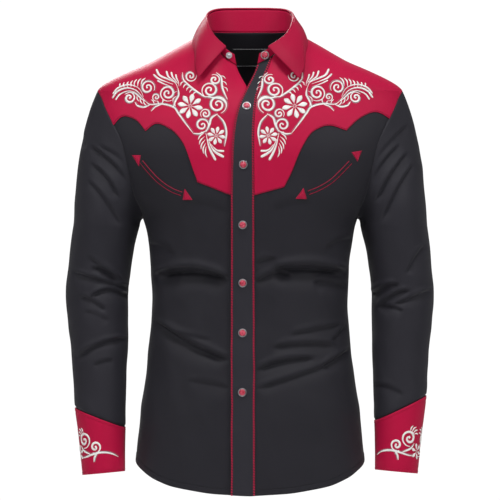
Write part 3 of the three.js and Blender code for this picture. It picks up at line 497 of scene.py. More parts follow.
def level_at(angle, z):
    low = np.zeros(np.broadcast(angle, z).shape)
    high = low + NECK
    for _ in range(30):
        mid = (low + high) / 2
        below = plain_body(angle, mid)[..., 2] < z
        low = np.where(below, mid, low)
        high = np.where(below, high, mid)
    return (low + high) / 2


def angle_at(x, level):
    angle = x / BODY_AT["front"](level)
    for _ in range(12):
        here = plain_body(angle, level)
        angle = angle + (x - here[..., 0]) / np.linalg.norm(here, axis=-1) * 0.9
    return angle


def edge_angle(edge, level):
    return angle_at(EDGES[edge](BODY_AT["front_z"](level)), level)


def arm_level(turn):
    return ARMPIT + (SHOULDER - ARMPIT) * (1 + np.cos(turn)) / 2


def arm_turn(level):
    return np.arccos(np.clip(2 * (level - ARMPIT) / (SHOULDER - ARMPIT) - 1, -1, 1))


def arm_reach(level, behind):
    inside = (level > ARMPIT) & (level < SHOULDER)
    reach = ARM_WIDTH(level) * np.sin(arm_turn(level)) * np.where(behind, ARMHOLE_BACK, 1)
    return np.where(inside, reach, 0)


def side_angle(level, behind):
    seam = SEAM / 2 / half_at(level)
    return math.pi / 2 + (1 if behind else -1) * (arm_reach(level, behind) + seam)


def panel_angle(side, share, level):
    if side == "left":
        return lerp(edge_angle("outer", level), side_angle(level, False), share)
    if side == "right":
        return lerp(edge_angle("right", level), -side_angle(level, False), share)
    if side == "back_left":
        return lerp(math.pi, side_angle(level, True), share)
    return lerp(math.pi, 2 * math.pi - side_angle(level, True), share)


def lap_lift(angle, level):
    beyond = plain_body(angle, level)[..., 0] - EDGES["outer"](BODY_AT["front_z"](level))
    return LAP * (1 - smooth(beyond, 0, OVERLAP_FADE))


def scallop_of(side, tip=None):
    """The scallop's level by the share of a panel's width, and the shares of its corners."""
    behind = side.startswith("back")
    runs = []
    for run in SCALLOPS[side]:
        x, z = np.array(run, float).T
        angle, level = locate(x, z, behind)
        start = panel_angle(side, 0.0, level)
        share = (angle - start) / (panel_angle(side, 1.0, level) - start)
        runs.append([share, level])
    runs[0][0][0] = max(0.0, runs[0][0][0])
    runs[-1][0][-1] = 1.0
    if tip is not None:
        runs[-1][1][-1] = tip
    curves = [curve(share, level) for share, level in runs]
    ends = [float(share[-1]) for share, _ in runs]

    def level_of(share):
        share = np.asarray(share, float)
        value = curves[-1](share)
        for run in range(len(curves) - 2, -1, -1):
            value = np.where(share <= ends[run] + 1e-9, curves[run](share), value)
        return value
    return level_of, [0.0, *ends]


def yoke_scallops():
    """The scallops of all yokes. A back one ends where the front one beside it does."""
    found = {}
    for side in QUARTERS:
        front = found.get(side.removeprefix("back_"))
        found[side] = scallop_of(side, float(front[0](1.0)) if front else None)
    return found


# Sleeves

SLEEVE_AT = {name: curve_of(SLEEVE[::-1], k) for k, name in enumerate(SLEEVE_COLUMNS)}
LEAVE_OUT = curve_of(LEAVE)
LEAVE_DOWN = curve_of(LEAVE, 2)
TUBE_LENGTH = SLEEVE_TOP - SLEEVE_END


def sleeve_tube(side, turn, z):
    out = SLEEVE_AT["out"](z) + SLEEVE_AT["half"](z) * np.cos(turn)
    forward = SLEEVE_AT["depth"](z) * np.sin(turn) - SLEEVE_AT["back"](z)
    out, forward, z = np.broadcast_arrays(side * out, -forward, z)
    return np.stack([out, forward, z], axis=-1)


def armhole_point(side, turn):
    level = arm_level(turn)
    ahead = np.where(np.sin(turn) >= 0, 1, -1)
    seam = SEAM / 2 / half_at(level) * np.abs(np.sin(turn))
    return body_surface(side * (math.pi / 2 - ahead * (arm_reach(level, ahead < 0) + seam)), level)


def sleeve_head(side, turn, tuck=0.0):
    """Where the sleeve starts, just inside its armhole, or tucked under the panels as its seam allowance."""
    here = armhole_point(side, turn)
    tangent = armhole_point(side, turn + 0.03) - armhole_point(side, turn - 0.03)
    level = np.clip(arm_level(turn), NUDGE, NECK)
    ahead = np.where(np.sin(turn) >= 0, 1, -1)
    normal = normal_of(body_surface, side * (math.pi / 2 - ahead * arm_reach(level, ahead < 0)), level)
    into = unit(np.cross(tangent, normal)) * -side
    upper = smooth(np.cos(turn), 0.1, 0.6)
    gap = lerp(HEAD_GAP["panel"], HEAD_GAP["yoke"], upper) - TUCK["under"] * tuck
    rise = STEP * upper * (1 - tuck) - TUCK["sink"] * tuck
    return here + into * gap[..., None] + normal * rise[..., None]


def sleeve_cap(side, turn, share):
    start = sleeve_head(side, turn)
    end = sleeve_tube(side, turn, np.full(np.shape(turn), float(SLEEVE_TOP)))
    span = np.linalg.norm(end - start, axis=-1)[..., None]
    degrees = np.abs(np.degrees(np.arctan2(np.sin(turn), np.cos(turn))))
    down, out = LEAVE_DOWN(degrees), LEAVE_OUT(degrees)
    leave = unit(np.stack([side * out, np.zeros_like(out), -down], axis=-1)) * span
    arrive = unit(np.array([side * ARM_LEAN, 0, -1.0])) * span * ARRIVE
    s = np.asarray(share, float)[..., None]
    blend = s * s * (3 - 2 * s)
    return lerp(start, end, blend) + leave * s * (1 - s) ** 2 + arrive * s * s * (s - 1)


def sleeve_plain(side, turn, run):
    turn, run = np.broadcast_arrays(np.asarray(turn, float), np.asarray(run, float))
    cap = sleeve_cap(side, turn, np.clip(run, 0, 1))
    tube = sleeve_tube(side, turn, SLEEVE_TOP - np.clip(run - 1, 0, None) * TUBE_LENGTH)
    return np.where((run <= 1)[..., None], cap, tube)


def sleeve_normal(side, turn, run):
    inside = np.clip(run, 0.03, 1.99)
    return normal_of(lambda a, b: sleeve_plain(side, a, b), turn, inside, 0.02, 0.01) * side


def run_at(z):
    return 1 + (SLEEVE_TOP - z) / TUBE_LENGTH


def sleeve_surface(side, turn, run, calm=0.0):
    word = "left" if side > 0 else "right"
    point = sleeve_plain(side, turn, run)
    x, z = point[..., 0], point[..., 2]
    s = np.sin(turn)
    folds = smooth(s, *SLEEVE_FACING) * troughs(SLEEVE_FRONT_FOLDS[word], x, z)
    folds = folds + smooth(-s, *SLEEVE_FACING) * troughs(SLEEVE_BACK_FOLDS[word], x, z)
    settled = smooth(run, 0, 0.35) * (1 - calm)
    above = z - cuff_top(CUFFS[word], turn)
    puff = PUFF["height"] * bell(above, PUFF["above"], PUFF["reach"]) * smooth(above, 0.5, 4)
    waves = 0.9 * undulation(x + WAVE_SHIFT["sleeve"] * s, z, 1.7)
    relief = settled * (waves + puff - folds * folds_scale())
    return point + sleeve_normal(side, turn, run) * relief[..., None]


def sleeve_layer(side, turn, run, off, calm=0.0):
    off = np.asarray(off, float)[..., None]
    turn, run = np.broadcast_arrays(np.asarray(turn, float), np.asarray(run, float))
    inside = np.clip(run, 0.03, 1.985)
    normal = normal_of(lambda a, b: sleeve_surface(side, a, b, calm), turn, inside, 0.01, 0.01) * side
    return sleeve_surface(side, turn, run, calm) + normal * off


def cuff_top(cuff, turn):
    return lerp(cuff["top_inner"], cuff["top_outer"], (1 + np.cos(turn)) / 2)


def cuff_end(cuff, turn):
    return lerp(cuff["end_inner"], cuff["end_outer"], (1 + np.cos(turn)) / 2) + CUFF_RISE * np.sin(turn)


# The collar

NECK_START = float(edge_angle("inner", NECK - NUDGE))
NECK_END = 2 * math.pi + float(edge_angle("right", NECK - NUDGE))
UP = np.array([0.0, 0.0, 1.0])


def stand_frame(share):
    share = np.asarray(share, float)
    angle = lerp(NECK_START, NECK_END, share)
    lap = np.where(angle < math.pi / 2, lap_lift(angle, NECK - NUDGE), 0)
    level = np.full(angle.shape, float(NECK))
    base = body_layer(angle, level, lap + STEP + STAND["lift"])
    ahead = unit(body_surface(angle + 0.02, level) - body_surface(angle - 0.02, level))
    outward = unit(np.cross(ahead, UP))
    to_front = smooth(np.cos(angle), -0.5, 0.6)
    height = lerp(STAND["back"], STAND["front"], smooth(np.cos(angle), -0.8, 0.3))
    dip = smooth(np.cos(angle), -1, -0.5) * (1 - smooth(np.cos(angle), -0.2, 0.4))
    height = height - STAND["corner"] * dip
    lean = lerp(0.06, 0.12, smooth(np.cos(angle), 0.1, 0.9))
    from_end = np.minimum(share, 1 - share)
    slant = STAND["slant"] * (1 - smooth(from_end, 0, STAND["slant_reach"])) * np.where(share < 0.5, 1, -1)
    up = UP + outward * lean[..., None] + ahead * slant[..., None]
    return base, outward, up, height, to_front


def leaf_half(rows, sign):
    share, x, z, clear = np.array(rows, float).T
    angle, level = locate(x, z)
    back = np.array(LEAF_EDGE_BACK, float)
    all_share = np.concatenate([share, back[:, 0]])
    angle_of = curve(all_share, np.concatenate([sign * angle, np.radians(back[:, 1])]))
    level_of = curve(all_share, np.concatenate([level, back[:, 2]]))
    clear_of = curve(all_share, np.concatenate([clear, back[:, 3]]))
    return lambda half: body_layer(sign * angle_of(half), level_of(half), STEP + clear_of(half))


def leaf_edge(share):
    left = leaf_half(LEAF_EDGE_LEFT, 1)(np.clip(share * 2, 0, 1))
    right = leaf_half(LEAF_EDGE_RIGHT, -1)(np.clip((1 - share) * 2, 0, 1))
    return np.where((share < 0.5)[..., None], left, right)


def leaf_middle():
    """The leaf's middle surface: a short roll over the stand, then down to its edge."""
    shares = edged(0, 1, LEAF_GRID["columns"])
    base, outward, up, height, to_front = stand_frame(lerp(LEAF_START, 1 - LEAF_START, shares))
    top = base + up * (height + SEAM + STIFF_WALL / 2)[..., None]
    edge = leaf_edge(shares)
    rolled = []
    for turn in np.linspace(0, math.pi * LEAF_ROLL["turn"], LEAF_GRID["roll"]):
        rise = LEAF_ROLL["up"] * math.sin(turn)
        reach = LEAF_ROLL["out"] * (1 - math.cos(turn)) / 1.8
        rolled.append(top + up * rise + outward * reach)
    start = rolled[-1]
    bulge = lerp(LEAF_BULGE["side"], LEAF_BULGE["front"], to_front)[..., None]
    for s in edged(0, 1, LEAF_GRID["rows"])[1:]:
        rolled.append(lerp(start, edge, s) + outward * bulge * math.sin(math.pi * s) * (1 - 0.25 * s))
    return np.stack(rolled, axis=1)


# Meshes

def shell_faces(columns, rows, around):
    """Faces of a wall between two grids of points, and the grid place of each corner."""
    faces, places = [], []

    def quads(*corners):
        index = [(side * columns + column % columns) * rows + row for side, column, row in corners]
        place = [np.stack(np.broadcast_arrays(column, row), -1) for _, column, row in corners]
        faces.append(np.stack(np.broadcast_arrays(*index), -1).reshape(-1, 4))
        places.append(np.stack(np.broadcast_arrays(*place), -2).reshape(-1, 4, 2))

    i = np.arange(columns if around else columns - 1)[:, None]
    j = np.arange(rows - 1)[None, :]
    quads((0, i, j), (0, i + 1, j), (0, i + 1, j + 1), (0, i, j + 1))
    quads((1, i, j), (1, i, j + 1), (1, i + 1, j + 1), (1, i + 1, j))
    i = i[:, 0]
    low = np.zeros_like(i)
    top = low + rows - 1
    quads((0, i, low), (1, i, low), (1, i + 1, low), (0, i + 1, low))
    quads((0, i, top), (0, i + 1, top), (1, i + 1, top), (1, i, top))
    if not around:
        j = j[0]
        first = np.zeros_like(j)
        last = first + columns - 1
        quads((0, first, j), (0, first, j + 1), (1, first, j + 1), (1, first, j))
        quads((0, last, j), (1, last, j), (1, last, j + 1), (0, last, j + 1))
    return np.concatenate(faces), np.concatenate(places)


def mesh_object(name, points, faces, uv, material):
    """An object from points in millimetres, faces of four corners, and a UV in metres for each corner."""
    corners = points[faces]
    first = np.cross(corners[:, 1] - corners[:, 0], corners[:, 2] - corners[:, 0])
    second = np.cross(corners[:, 2] - corners[:, 0], corners[:, 3] - corners[:, 0])
    middle = corners.mean(axis=1) - points.mean(axis=0)
    if ((first + second) * middle).sum() < 0:
        faces = faces[:, ::-1]
        uv = uv[:, ::-1]
    mesh = bpy.data.meshes.new(name)
    mesh.vertices.add(len(points))
    mesh.vertices.foreach_set("co", (points * MM).astype(np.float32).ravel())
    mesh.loops.add(faces.size)
    mesh.loops.foreach_set("vertex_index", faces.astype(np.int32).ravel())
    mesh.polygons.add(len(faces))
    mesh.polygons.foreach_set("loop_start", np.arange(0, faces.size, 4, dtype=np.int32))
    layer = mesh.uv_layers.new(name="cloth")
    layer.data.foreach_set("uv", uv.astype(np.float32).ravel())
    mesh.update(calc_edges=True)
    mesh.polygons.foreach_set("use_smooth", np.ones(len(faces), dtype=bool))
    mesh.materials.append(material)
    obj = bpy.data.objects.new(name, mesh)
    bpy.context.collection.objects.link(obj)
    return obj


def rim_profile(columns, rows, around):
    """Thickness share at each place of a grid: thinner at its free borders, for a rounded edge."""
    share = np.ones((columns, rows))
    share[:, [0, -1]] = RIM_SHARE
    if not around:
        share[[0, -1], :] = RIM_SHARE
    return share


def grid_normals(points, around=False):
    """Outward directions of a grid whose columns run round and whose rows run up."""
    if around:
        across = (np.roll(points, -1, axis=0) - np.roll(points, 1, axis=0)) / 2
    else:
        across = np.gradient(points, axis=0)
    return unit(np.cross(across, np.gradient(points, axis=1)))


def cloth(name, points, middle, wall, material, around=False, normals=None):
    """A closed layer of cloth, its middle at a height off each point of a grid."""
    columns, rows = points.shape[:2]
    if normals is None:
        normals = grid_normals(points, around)
    middle = middle + np.zeros((columns, rows))
    half = wall / 2 * rim_profile(columns, rows, around)
    outer = points + normals * (middle + half)[..., None]
    inner = points + normals * (middle - half)[..., None]
    centre = (outer + inner) / 2
    across = along(centre[:, rows // 2])
    if around:
        across = np.append(across, across[-1] + np.linalg.norm(centre[0, rows // 2] - centre[-1, rows // 2]))
    upward = along(centre[columns // 2])
    faces, places = shell_faces(columns, rows, around)
    uv = np.stack([across[places[..., 0]], upward[places[..., 1]]], -1) * MM
    points = np.concatenate([outer.reshape(-1, 3), inner.reshape(-1, 3)])
    obj = mesh_object(name, points, faces, uv, material_of(material))
    return obj, sheet_cut(centre, around)


def sheet_cut(centre, around):
    """Width, length and area in metres of the flat cloth that a grid of points was cut from."""
    loop = np.concatenate([centre, centre[:1]]) if around else centre
    a, b, c, d = loop[:-1, :-1], loop[1:, :-1], loop[1:, 1:], loop[:-1, 1:]
    area = (np.linalg.norm(np.cross(b - a, c - a), axis=-1).sum()
            + np.linalg.norm(np.cross(c - a, d - a), axis=-1).sum()) / 2
    width = np.linalg.norm(np.diff(loop, axis=0), axis=-1).sum(axis=0).max()
    length = np.linalg.norm(np.diff(loop, axis=1), axis=-1).sum(axis=1).max()
    return width * MM, length * MM, area * MM * MM


def joined_mesh(name, tubes, material):
    """One mesh of many small tubes. Each is a grid (rows along, 6 places round) with its own UV, capped."""
    points, faces, uvs = [], [], []
    count = 0
    for grid, along_at, across_at in tubes:
        rows = len(grid)
        points.append(grid.reshape(-1, 3))
        i = np.arange(rows - 1)[:, None] * ROUND_COUNT
        j = np.arange(ROUND_COUNT)[None, :]
        k = (j + 1) % ROUND_COUNT
        index = np.stack(np.broadcast_arrays(i + j, i + ROUND_COUNT + j, i + ROUND_COUNT + k, i + k), -1)
        caps = np.array([[0, 1, 2, 3], [0, 3, 4, 5]])
        ends = np.concatenate([caps, caps[:, ::-1] + (rows - 1) * ROUND_COUNT])
        both = np.concatenate([index.reshape(-1, 4), ends])
        faces.append(both + count)
        place = np.stack(np.broadcast_arrays(along_at[:, None], across_at), -1).reshape(-1, 2)
        uvs.append(place[both])
        count += rows * ROUND_COUNT
    points, faces, uvs = (np.concatenate(parts) for parts in (points, faces, uvs))
    return mesh_object(name, points, faces, uvs * MM, material_of(material))


ROUND = [(-1, 0), (-0.62, 0.78), (0, 1), (0.62, 0.78), (1, 0), (0, -0.25)]
ROUND_COUNT = len(ROUND)
RIM_SHARE = 0.35


def spline(points, step):
    """A smooth line through a few points, at even steps."""
    points = np.asarray(points, float)
    if len(points) == 2:
        dense = lerp(points[0], points[1], np.linspace(0, 1, 40)[:, None])
    else:
        ends = np.concatenate([[2 * points[0] - points[1]], points, [2 * points[-1] - points[-2]]])
        dense = []
        for a, b, c, d in zip(ends, ends[1:], ends[2:], ends[3:]):
            s = np.linspace(0, 1, 24, endpoint=False)[:, None]
            dense.append(0.5 * (2 * b + (c - a) * s + (2 * a - 5 * b + 4 * c - d) * s ** 2
                                + (3 * b - a - 3 * c + d) * s ** 3))
        dense = np.concatenate([*dense, points[-1:]])
    length = along(dense)
    at = np.linspace(0, length[-1], max(int(length[-1] / step) + 1, 4))
    return np.stack([np.interp(at, length, dense[:, k]) for k in range(dense.shape[1])], -1)


def blade(one, other, height):
    """A raised satin shape between two edges, as flat places with heights, for a surface to take up."""
    width = np.linalg.norm(other - one, axis=-1)
    rise = height * np.clip(width / 2.2, 0.25, 1)
    middle = (one + other) / 2
    half = (other - one) / 2
    flat = np.stack([middle + half * across for across, _ in ROUND], axis=1)
    raised = np.stack([rise * up for _, up in ROUND], axis=1)
    across_at = np.stack([width / 2 * across for across, _ in ROUND], axis=1)
    return flat, raised, along(middle), across_at


def stroke(line, width, height=0.6):
    side = beside(line) * (width / 2)[:, None]
    return blade(line - side, line + side, height)


def twin_strokes(line, off, width, height):
    """Two strokes of even width, one on each side of a line."""
    widths = np.full(len(line), float(width))
    return [stroke(line + beside(line) * way, widths, height) for way in (off, -off)]


def laid(shapes, surface):
    """Takes flat shapes up onto a surface, all in one go."""
    flat = np.concatenate([shape[0].reshape(-1, 2) for shape in shapes])
    raised = np.concatenate([shape[1].reshape(-1) for shape in shapes])
    points = surface(flat[:, 0], flat[:, 1], raised)
    tubes, start = [], 0
    for _, heights, along_at, across_at in shapes:
        grid = points[start:start + heights.size].reshape(-1, ROUND_COUNT, 3)
        tubes.append((grid, along_at, across_at))
        start += heights.size
    return tubes


STITCH_RINGS = [(-0.5, 0.35), (-0.34, 0.95), (0.34, 0.95), (0.5, 0.35)]
STITCH_SINK = 0.3
STITCH_FLAT = 0.8
FINE_STITCH = {"length": 1.9, "width": 0.8}
SADDLE_STITCH = {"length": 3.7, "width": 2, "lean": 1.6}
SADDLE_CORE = 1.1
LABEL_STITCH = {"pitch": 2.4, "length": 1.9, "width": 1.3}


def stitch_tubes(points, normals, pitch, length, width, lean=0.0):
    """Small separate stitches along a line, pulled down at both ends. lean turns each one across the line."""
    distance = along(points)
    count = max(int(distance[-1] / pitch), 1)
    at = (np.arange(count) + 0.5) * distance[-1] / count

    def pick(values):
        return np.stack([np.interp(at, distance, values[:, k]) for k in range(3)], -1)

    up = unit(pick(normals))
    ahead = unit(pick(np.gradient(points, axis=0)))
    ahead = unit(ahead + unit(np.cross(up, ahead)) * lean)
    side = unit(np.cross(up, ahead))
    turns = np.arange(ROUND_COUNT) * 2 * math.pi / ROUND_COUNT
    along_at = np.array([reach * length for reach, _ in STITCH_RINGS])
    across_at = np.broadcast_to(np.cos(turns) * width / 2, (len(STITCH_RINGS), ROUND_COUNT))
    tubes = []
    for p, a, s, u in zip(pick(points), ahead, side, up):
        round_it = np.cos(turns)[:, None] * s + STITCH_FLAT * np.sin(turns)[:, None] * u
        rings = [p + a * (reach * length) + u * (width * (0.5 * share - STITCH_SINK))
                 + round_it * (width / 2 * share) for reach, share in STITCH_RINGS]
        tubes.append((np.array(rings), along_at, across_at))
    return tubes


def trim(obj, slot):
    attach(obj, "root")


def sew(name, tubes, material, slot):
    """Thread or piping that lies on the cloth, as one mesh attached to the root."""
    trim(joined_mesh(name, tubes, material), slot)


def declare(obj, cut, held, rests_on=()):
    width, length, area = cut
    list(rests_on)


def fit(obj, node, slot):
    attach(obj, "root")
    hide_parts(node)


# Materials

def set_inputs(node, values):
    for name, value in values.items():
        node.inputs[name].default_value = value


def new_material(name):
    material = bpy.data.materials.new(name)
    material.use_nodes = True
    tree = material.node_tree
    return material, tree, tree.nodes["Principled BSDF"]


def maths(tree, operation, *values):
    """A number worked out from up to three others, each a socket or a number."""
    node = tree.nodes.new("ShaderNodeMath")
    node.operation = operation
    for socket, value in zip(node.inputs, values):
        if isinstance(value, (int, float)):
            socket.default_value = value
        else:
            tree.links.new(value, socket)
    return node.outputs[0]


def mixed(tree, share, first, second):
    """A colour between two colours, each a socket or three numbers."""
    node = tree.nodes.new("ShaderNodeMix")
    node.data_type = "RGBA"
    tree.links.new(share, node.inputs["Factor"])
    for socket, value in ((node.inputs[6], first), (node.inputs[7], second)):
        if isinstance(value, bpy.types.NodeSocket):
            tree.links.new(value, socket)
        else:
            socket.default_value = (*value, 1)
    return node.outputs[2]


def noise(tree, vector, scale, detail, roughness=0.55, distortion=0.0):
    node = tree.nodes.new("ShaderNodeTexNoise")
    set_inputs(node, {"Scale": scale, "Detail": detail, "Roughness": roughness, "Distortion": distortion})
    tree.links.new(vector, node.inputs["Vector"])
    return node.outputs["Fac"]


def ramp(tree, value, low, high, to_low=0.0, to_high=1.0):
    """A number between two limits, stretched between two others."""
    node = tree.nodes.new("ShaderNodeMapRange")
    set_inputs(node, {"From Min": low, "From Max": high, "To Min": to_low, "To Max": to_high})
    tree.links.new(value, node.inputs["Value"])
    return node.outputs["Result"]


def object_place(tree):
    return tree.nodes.new("ShaderNodeTexCoord").outputs["Object"]


def grain(tree):
    """The cloth's own UV, whole and as distances across and up."""
    uv = tree.nodes.new("ShaderNodeUVMap")
    uv.uv_map = "cloth"
    split = tree.nodes.new("ShaderNodeSeparateXYZ")
    tree.links.new(uv.outputs["UV"], split.inputs["Vector"])
    return uv.outputs["UV"], split.outputs["X"], split.outputs["Y"]


def sine(tree, distance, pitch):
    """A wave that repeats at a pitch in millimetres."""
    return maths(tree, "SINE", maths(tree, "MULTIPLY", distance, 2 * math.pi / (pitch * MM)))


def add_bump(tree, shader, height, settings):
    bump = tree.nodes.new("ShaderNodeBump")
    set_inputs(bump, settings)
    tree.links.new(height, bump.inputs["Height"])
    tree.links.new(bump.outputs["Normal"], shader.inputs["Normal"])


def scaled(colour, factor):
    return tuple(min(channel * factor, 1) for channel in colour)


SLUB = {"scale": 900, "height": 0.8}
FUZZ = {"scale": 1600, "height": 0.6}
DYE = {"scale": 9, "dark": 0.92, "light": 1.08}
WEAVE_GAP_SHADE = 0.8
WEAVE_BUMP = {"Strength": 0.22, "Distance": 0.00012}
THREAD_PITCH = 0.42
THREAD_LEAN = 0.35
THREAD_BUMP = {"Strength": 0.5, "Distance": 0.00018}
NACRE = {"scale": 240, "detail": 3, "distortion": 2.4}


def weave_material(name, colour, thread, sheen, roughness, specular):
    """Cloth with a weave that follows its own grain, uneven dye, slubs in the yarn, and painted shade where
    the yarns dip.
    """
    material, tree, shader = new_material(name)
    uv, across, up = grain(tree)
    yarns = maths(tree, "MULTIPLY", sine(tree, across, thread), sine(tree, up, thread))
    slub = noise(tree, uv, SLUB["scale"], 2)
    add_bump(tree, shader, maths(tree, "MULTIPLY_ADD", slub, SLUB["height"], yarns), WEAVE_BUMP)
    dye = ramp(tree, noise(tree, object_place(tree), DYE["scale"], 4), 0.3, 0.7)
    tone = mixed(tree, dye, scaled(colour, DYE["dark"]), scaled(colour, DYE["light"]))
    # painted shade: the colour darkens where the weave's yarns dip
    shade = mixed(tree, ramp(tree, yarns, -1, 1), scaled(colour, WEAVE_GAP_SHADE), tone)
    tree.links.new(shade, shader.inputs["Base Color"])
    set_inputs(shader, {"Roughness": roughness, "Specular IOR Level": specular, "Sheen Weight": sheen,
                        "Sheen Roughness": 0.5})
    return material


def thread_material(name, colour, dark, specular):
    """Satin stitches: threads lie across the stroke, side by side, with painted shade in the gaps between
    them.
    """
    material, tree, shader = new_material(name)
    uv, across, up = grain(tree)
    rows = sine(tree, maths(tree, "MULTIPLY_ADD", up, THREAD_LEAN, across), THREAD_PITCH)
    fuzz = noise(tree, uv, FUZZ["scale"], 2)
    add_bump(tree, shader, maths(tree, "MULTIPLY_ADD", fuzz, FUZZ["height"], rows), THREAD_BUMP)
    # painted shade: the darker colour falls in the gaps between the threads
    tree.links.new(mixed(tree, ramp(tree, rows, -1.1, 0.2), dark, colour), shader.inputs["Base Color"])
    set_inputs(shader, {"Roughness": 0.45, "Specular IOR Level": specular, "Sheen Weight": 0.05})
    return material


def pearl_material(name, colour, light):
    material, tree, shader = new_material(name)
    swirl = noise(tree, object_place(tree), NACRE["scale"], NACRE["detail"], 0.5, NACRE["distortion"])
    tree.links.new(mixed(tree, ramp(tree, swirl, 0.42, 0.58), colour, light), shader.inputs["Base Color"])
    set_inputs(shader, {"Roughness": 0.26, "Coat Weight": 0.4, "Coat Roughness": 0.08,
                        "Specular IOR Level": 0.3})
    return material


def metal_material(name, colour):
    material, tree, shader = new_material(name)
    wear = noise(tree, object_place(tree), 700, 3)
    tree.links.new(ramp(tree, wear, 0, 1, 0.26, 0.44), shader.inputs["Roughness"])
    tree.links.new(mixed(tree, wear, scaled(colour, 0.86), colour), shader.inputs["Base Color"])
    set_inputs(shader, {"Metallic": 1})
    return material


# Cloths: colour, its brightness, thread in millimetres, sheen, roughness and specular
WEAVES = {
    "black_shirting": ("black", 1, 0.5, 0.03, 0.55, 0.14),
    # The sleeves' black cloth made lighter: painted light, for the sides that the lamps light more
    "sleeve_shirting": ("black", 1.2, 0.5, 0.03, 0.55, 0.14),
    # The placket's black cloth made lighter: painted light
    "placket_shirting": ("black", 1.35, 0.5, 0.03, 0.55, 0.14),
    "crimson_shirting": ("crimson", 1, 0.45, 0.03, 0.5, 0.11),
    # The collar leaf's crimson cloth made darker: painted shade
    "collar_shirting": ("crimson", 0.8, 0.45, 0.03, 0.5, 0.11),
    "label_weave": ("label", 1, 0.3, 0.05, 0.5, 0.35),
}
# Threads: colour, brightness of the thread and of the painted shade in the gaps between, and specular
THREADS = {
    "black_thread": ("black", 0.6, 0.3, 0.1),
    "crimson_thread": ("crimson", 1.05, 0.5, 0.12),
    "seam_thread": ("crimson", 0.6, 0.35, 0.1),
    "saddle_thread": ("crimson", 1.35, 0.6, 0.2),
    "white_thread": ("white", 1, 0.74, 0.4),
    "grey_thread": ("grey", 1, 0.6, 0.4),
}


def material_of(name):
    """The shirt's materials, made once from the colours that the user sets."""
    made = bpy.data.materials.get(name)
    if made:
        return made
    colours = bpy.context.scene.shirt_colours
    if name in WEAVES:
        colour, bright, *rest = WEAVES[name]
        return weave_material(name, scaled(getattr(colours, colour), bright), *rest)
    if name in THREADS:
        colour, bright, dark, specular = THREADS[name]
        colour = getattr(colours, colour)
        return thread_material(name, scaled(colour, bright), scaled(colour, dark), specular)
    if name == "snap_cap":
        return pearl_material(name, colours.pearl[:], colours.pearl_light[:])
    return metal_material(name, colours.steel[:])


# Body pieces

# Rows below the armpit, beside the armhole, and from the shoulder to the neck
PANEL_ROWS = (190, 52, 30)
YOKE_ROWS = (0, 56, 36)
PANEL_COLUMNS = {"left": 58, "right": 62, "back_left": 48, "back_right": 48}
PLACKET_COLUMNS = 10

# The turned hem: length of one level there, height of its stitches, and its raised band
HEM_LEVEL = 140
HEM_STITCH = 9.4
HEM_BAND = {"rise": 0.45, "from": 8, "to": 10.5}
HEM_GROOVE = {"depth": 0.35, "half": 1.2}

# The middle of cloth that lies under the body's surface, or a seam above it
UNDER = -WALL / 2
OVER = SEAM + WALL / 2


def level_rows(bottom, lower, upper, slope):
    """Levels from the hem or a yoke's edge up to the neck, one list for each column."""
    neck = lerp(SHOULDER, NECK, edged(0, 1, slope)[2:])
    columns = []
    for start in bottom:
        if start < ARMPIT:
            low = lerp(start, ARMPIT, edged(0, 1, lower, 0.0012)[:-2])
            arm = arm_level(np.linspace(math.pi, 0, upper))
        else:
            low = []
            arm = arm_level(np.linspace(float(arm_turn(start)), 0, upper + 1))
            arm = np.insert(arm, 1, arm[0] + (arm[1] - arm[0]) * 0.3)
        columns.append(np.concatenate([low, arm, neck]))
    return np.array(columns)


def hem_levels(angle_of, shares):
    at_hem = angle_of(shares, np.full(len(shares), 0.3))
    from_centre = np.abs(np.degrees(np.arcsin(np.clip(np.sin(at_hem), -1, 1))))
    return level_at(at_hem, HEM_AT(from_centre))


def corner_shares(corners, steps):
    """Shares of a panel's width that stand on the scallop's corners, with one more close to each side."""
    shares = [0.0]
    for run, count in enumerate(steps):
        shares.extend(lerp(corners[run], corners[run + 1], k / count) for k in range(1, count + 1))
    return np.array([0.0, 0.004, *shares[1:-1], 0.996, 1.0])


def hem_relief(levels, bottom):
    """The turned hem: a slightly thicker band above the edge, and a groove where it is stitched."""
    above = (levels - bottom[:, None]) * HEM_LEVEL
    band = HEM_BAND["rise"] * (1 - smooth(above, HEM_BAND["from"], HEM_BAND["to"]))
    return band - HEM_GROOVE["depth"] * bell(above, HEM_STITCH, HEM_GROOVE["half"])


def hem_grid(angle_of, shares):
    """Angles, levels and relief of cloth that hangs down to the turned hem."""
    bottom = hem_levels(angle_of, shares)
    levels = level_rows(bottom, *PANEL_ROWS)
    return angle_of(shares[:, None], levels), levels, hem_relief(levels, bottom)


def panel_grid(side):
    return hem_grid(lambda share, level: panel_angle(side, share, level), edged(0, 1, PANEL_COLUMNS[side]))


def placket_angle(share, level):
    return lerp(edge_angle("inner", level), edge_angle("outer", level), share)


def joined_halves(left, right):
    """One grid of two that meet at the middle of the back."""
    return [np.concatenate([a[:1:-1], a[:1], b[2:]]) for a, b in zip(left, right)]


def piece(name, points, middle, wall, material, node, slot, held, rests_on, **shape):
    """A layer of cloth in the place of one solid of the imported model."""
    obj, cut = cloth(name, points, middle, wall, material, **shape)
    fit(obj, node, slot)
    declare(obj, cut, held, rests_on)


def body_piece(name, angle, level, middle, *looks):
    piece(name, body_surface(angle, level), middle, WALL, *looks)


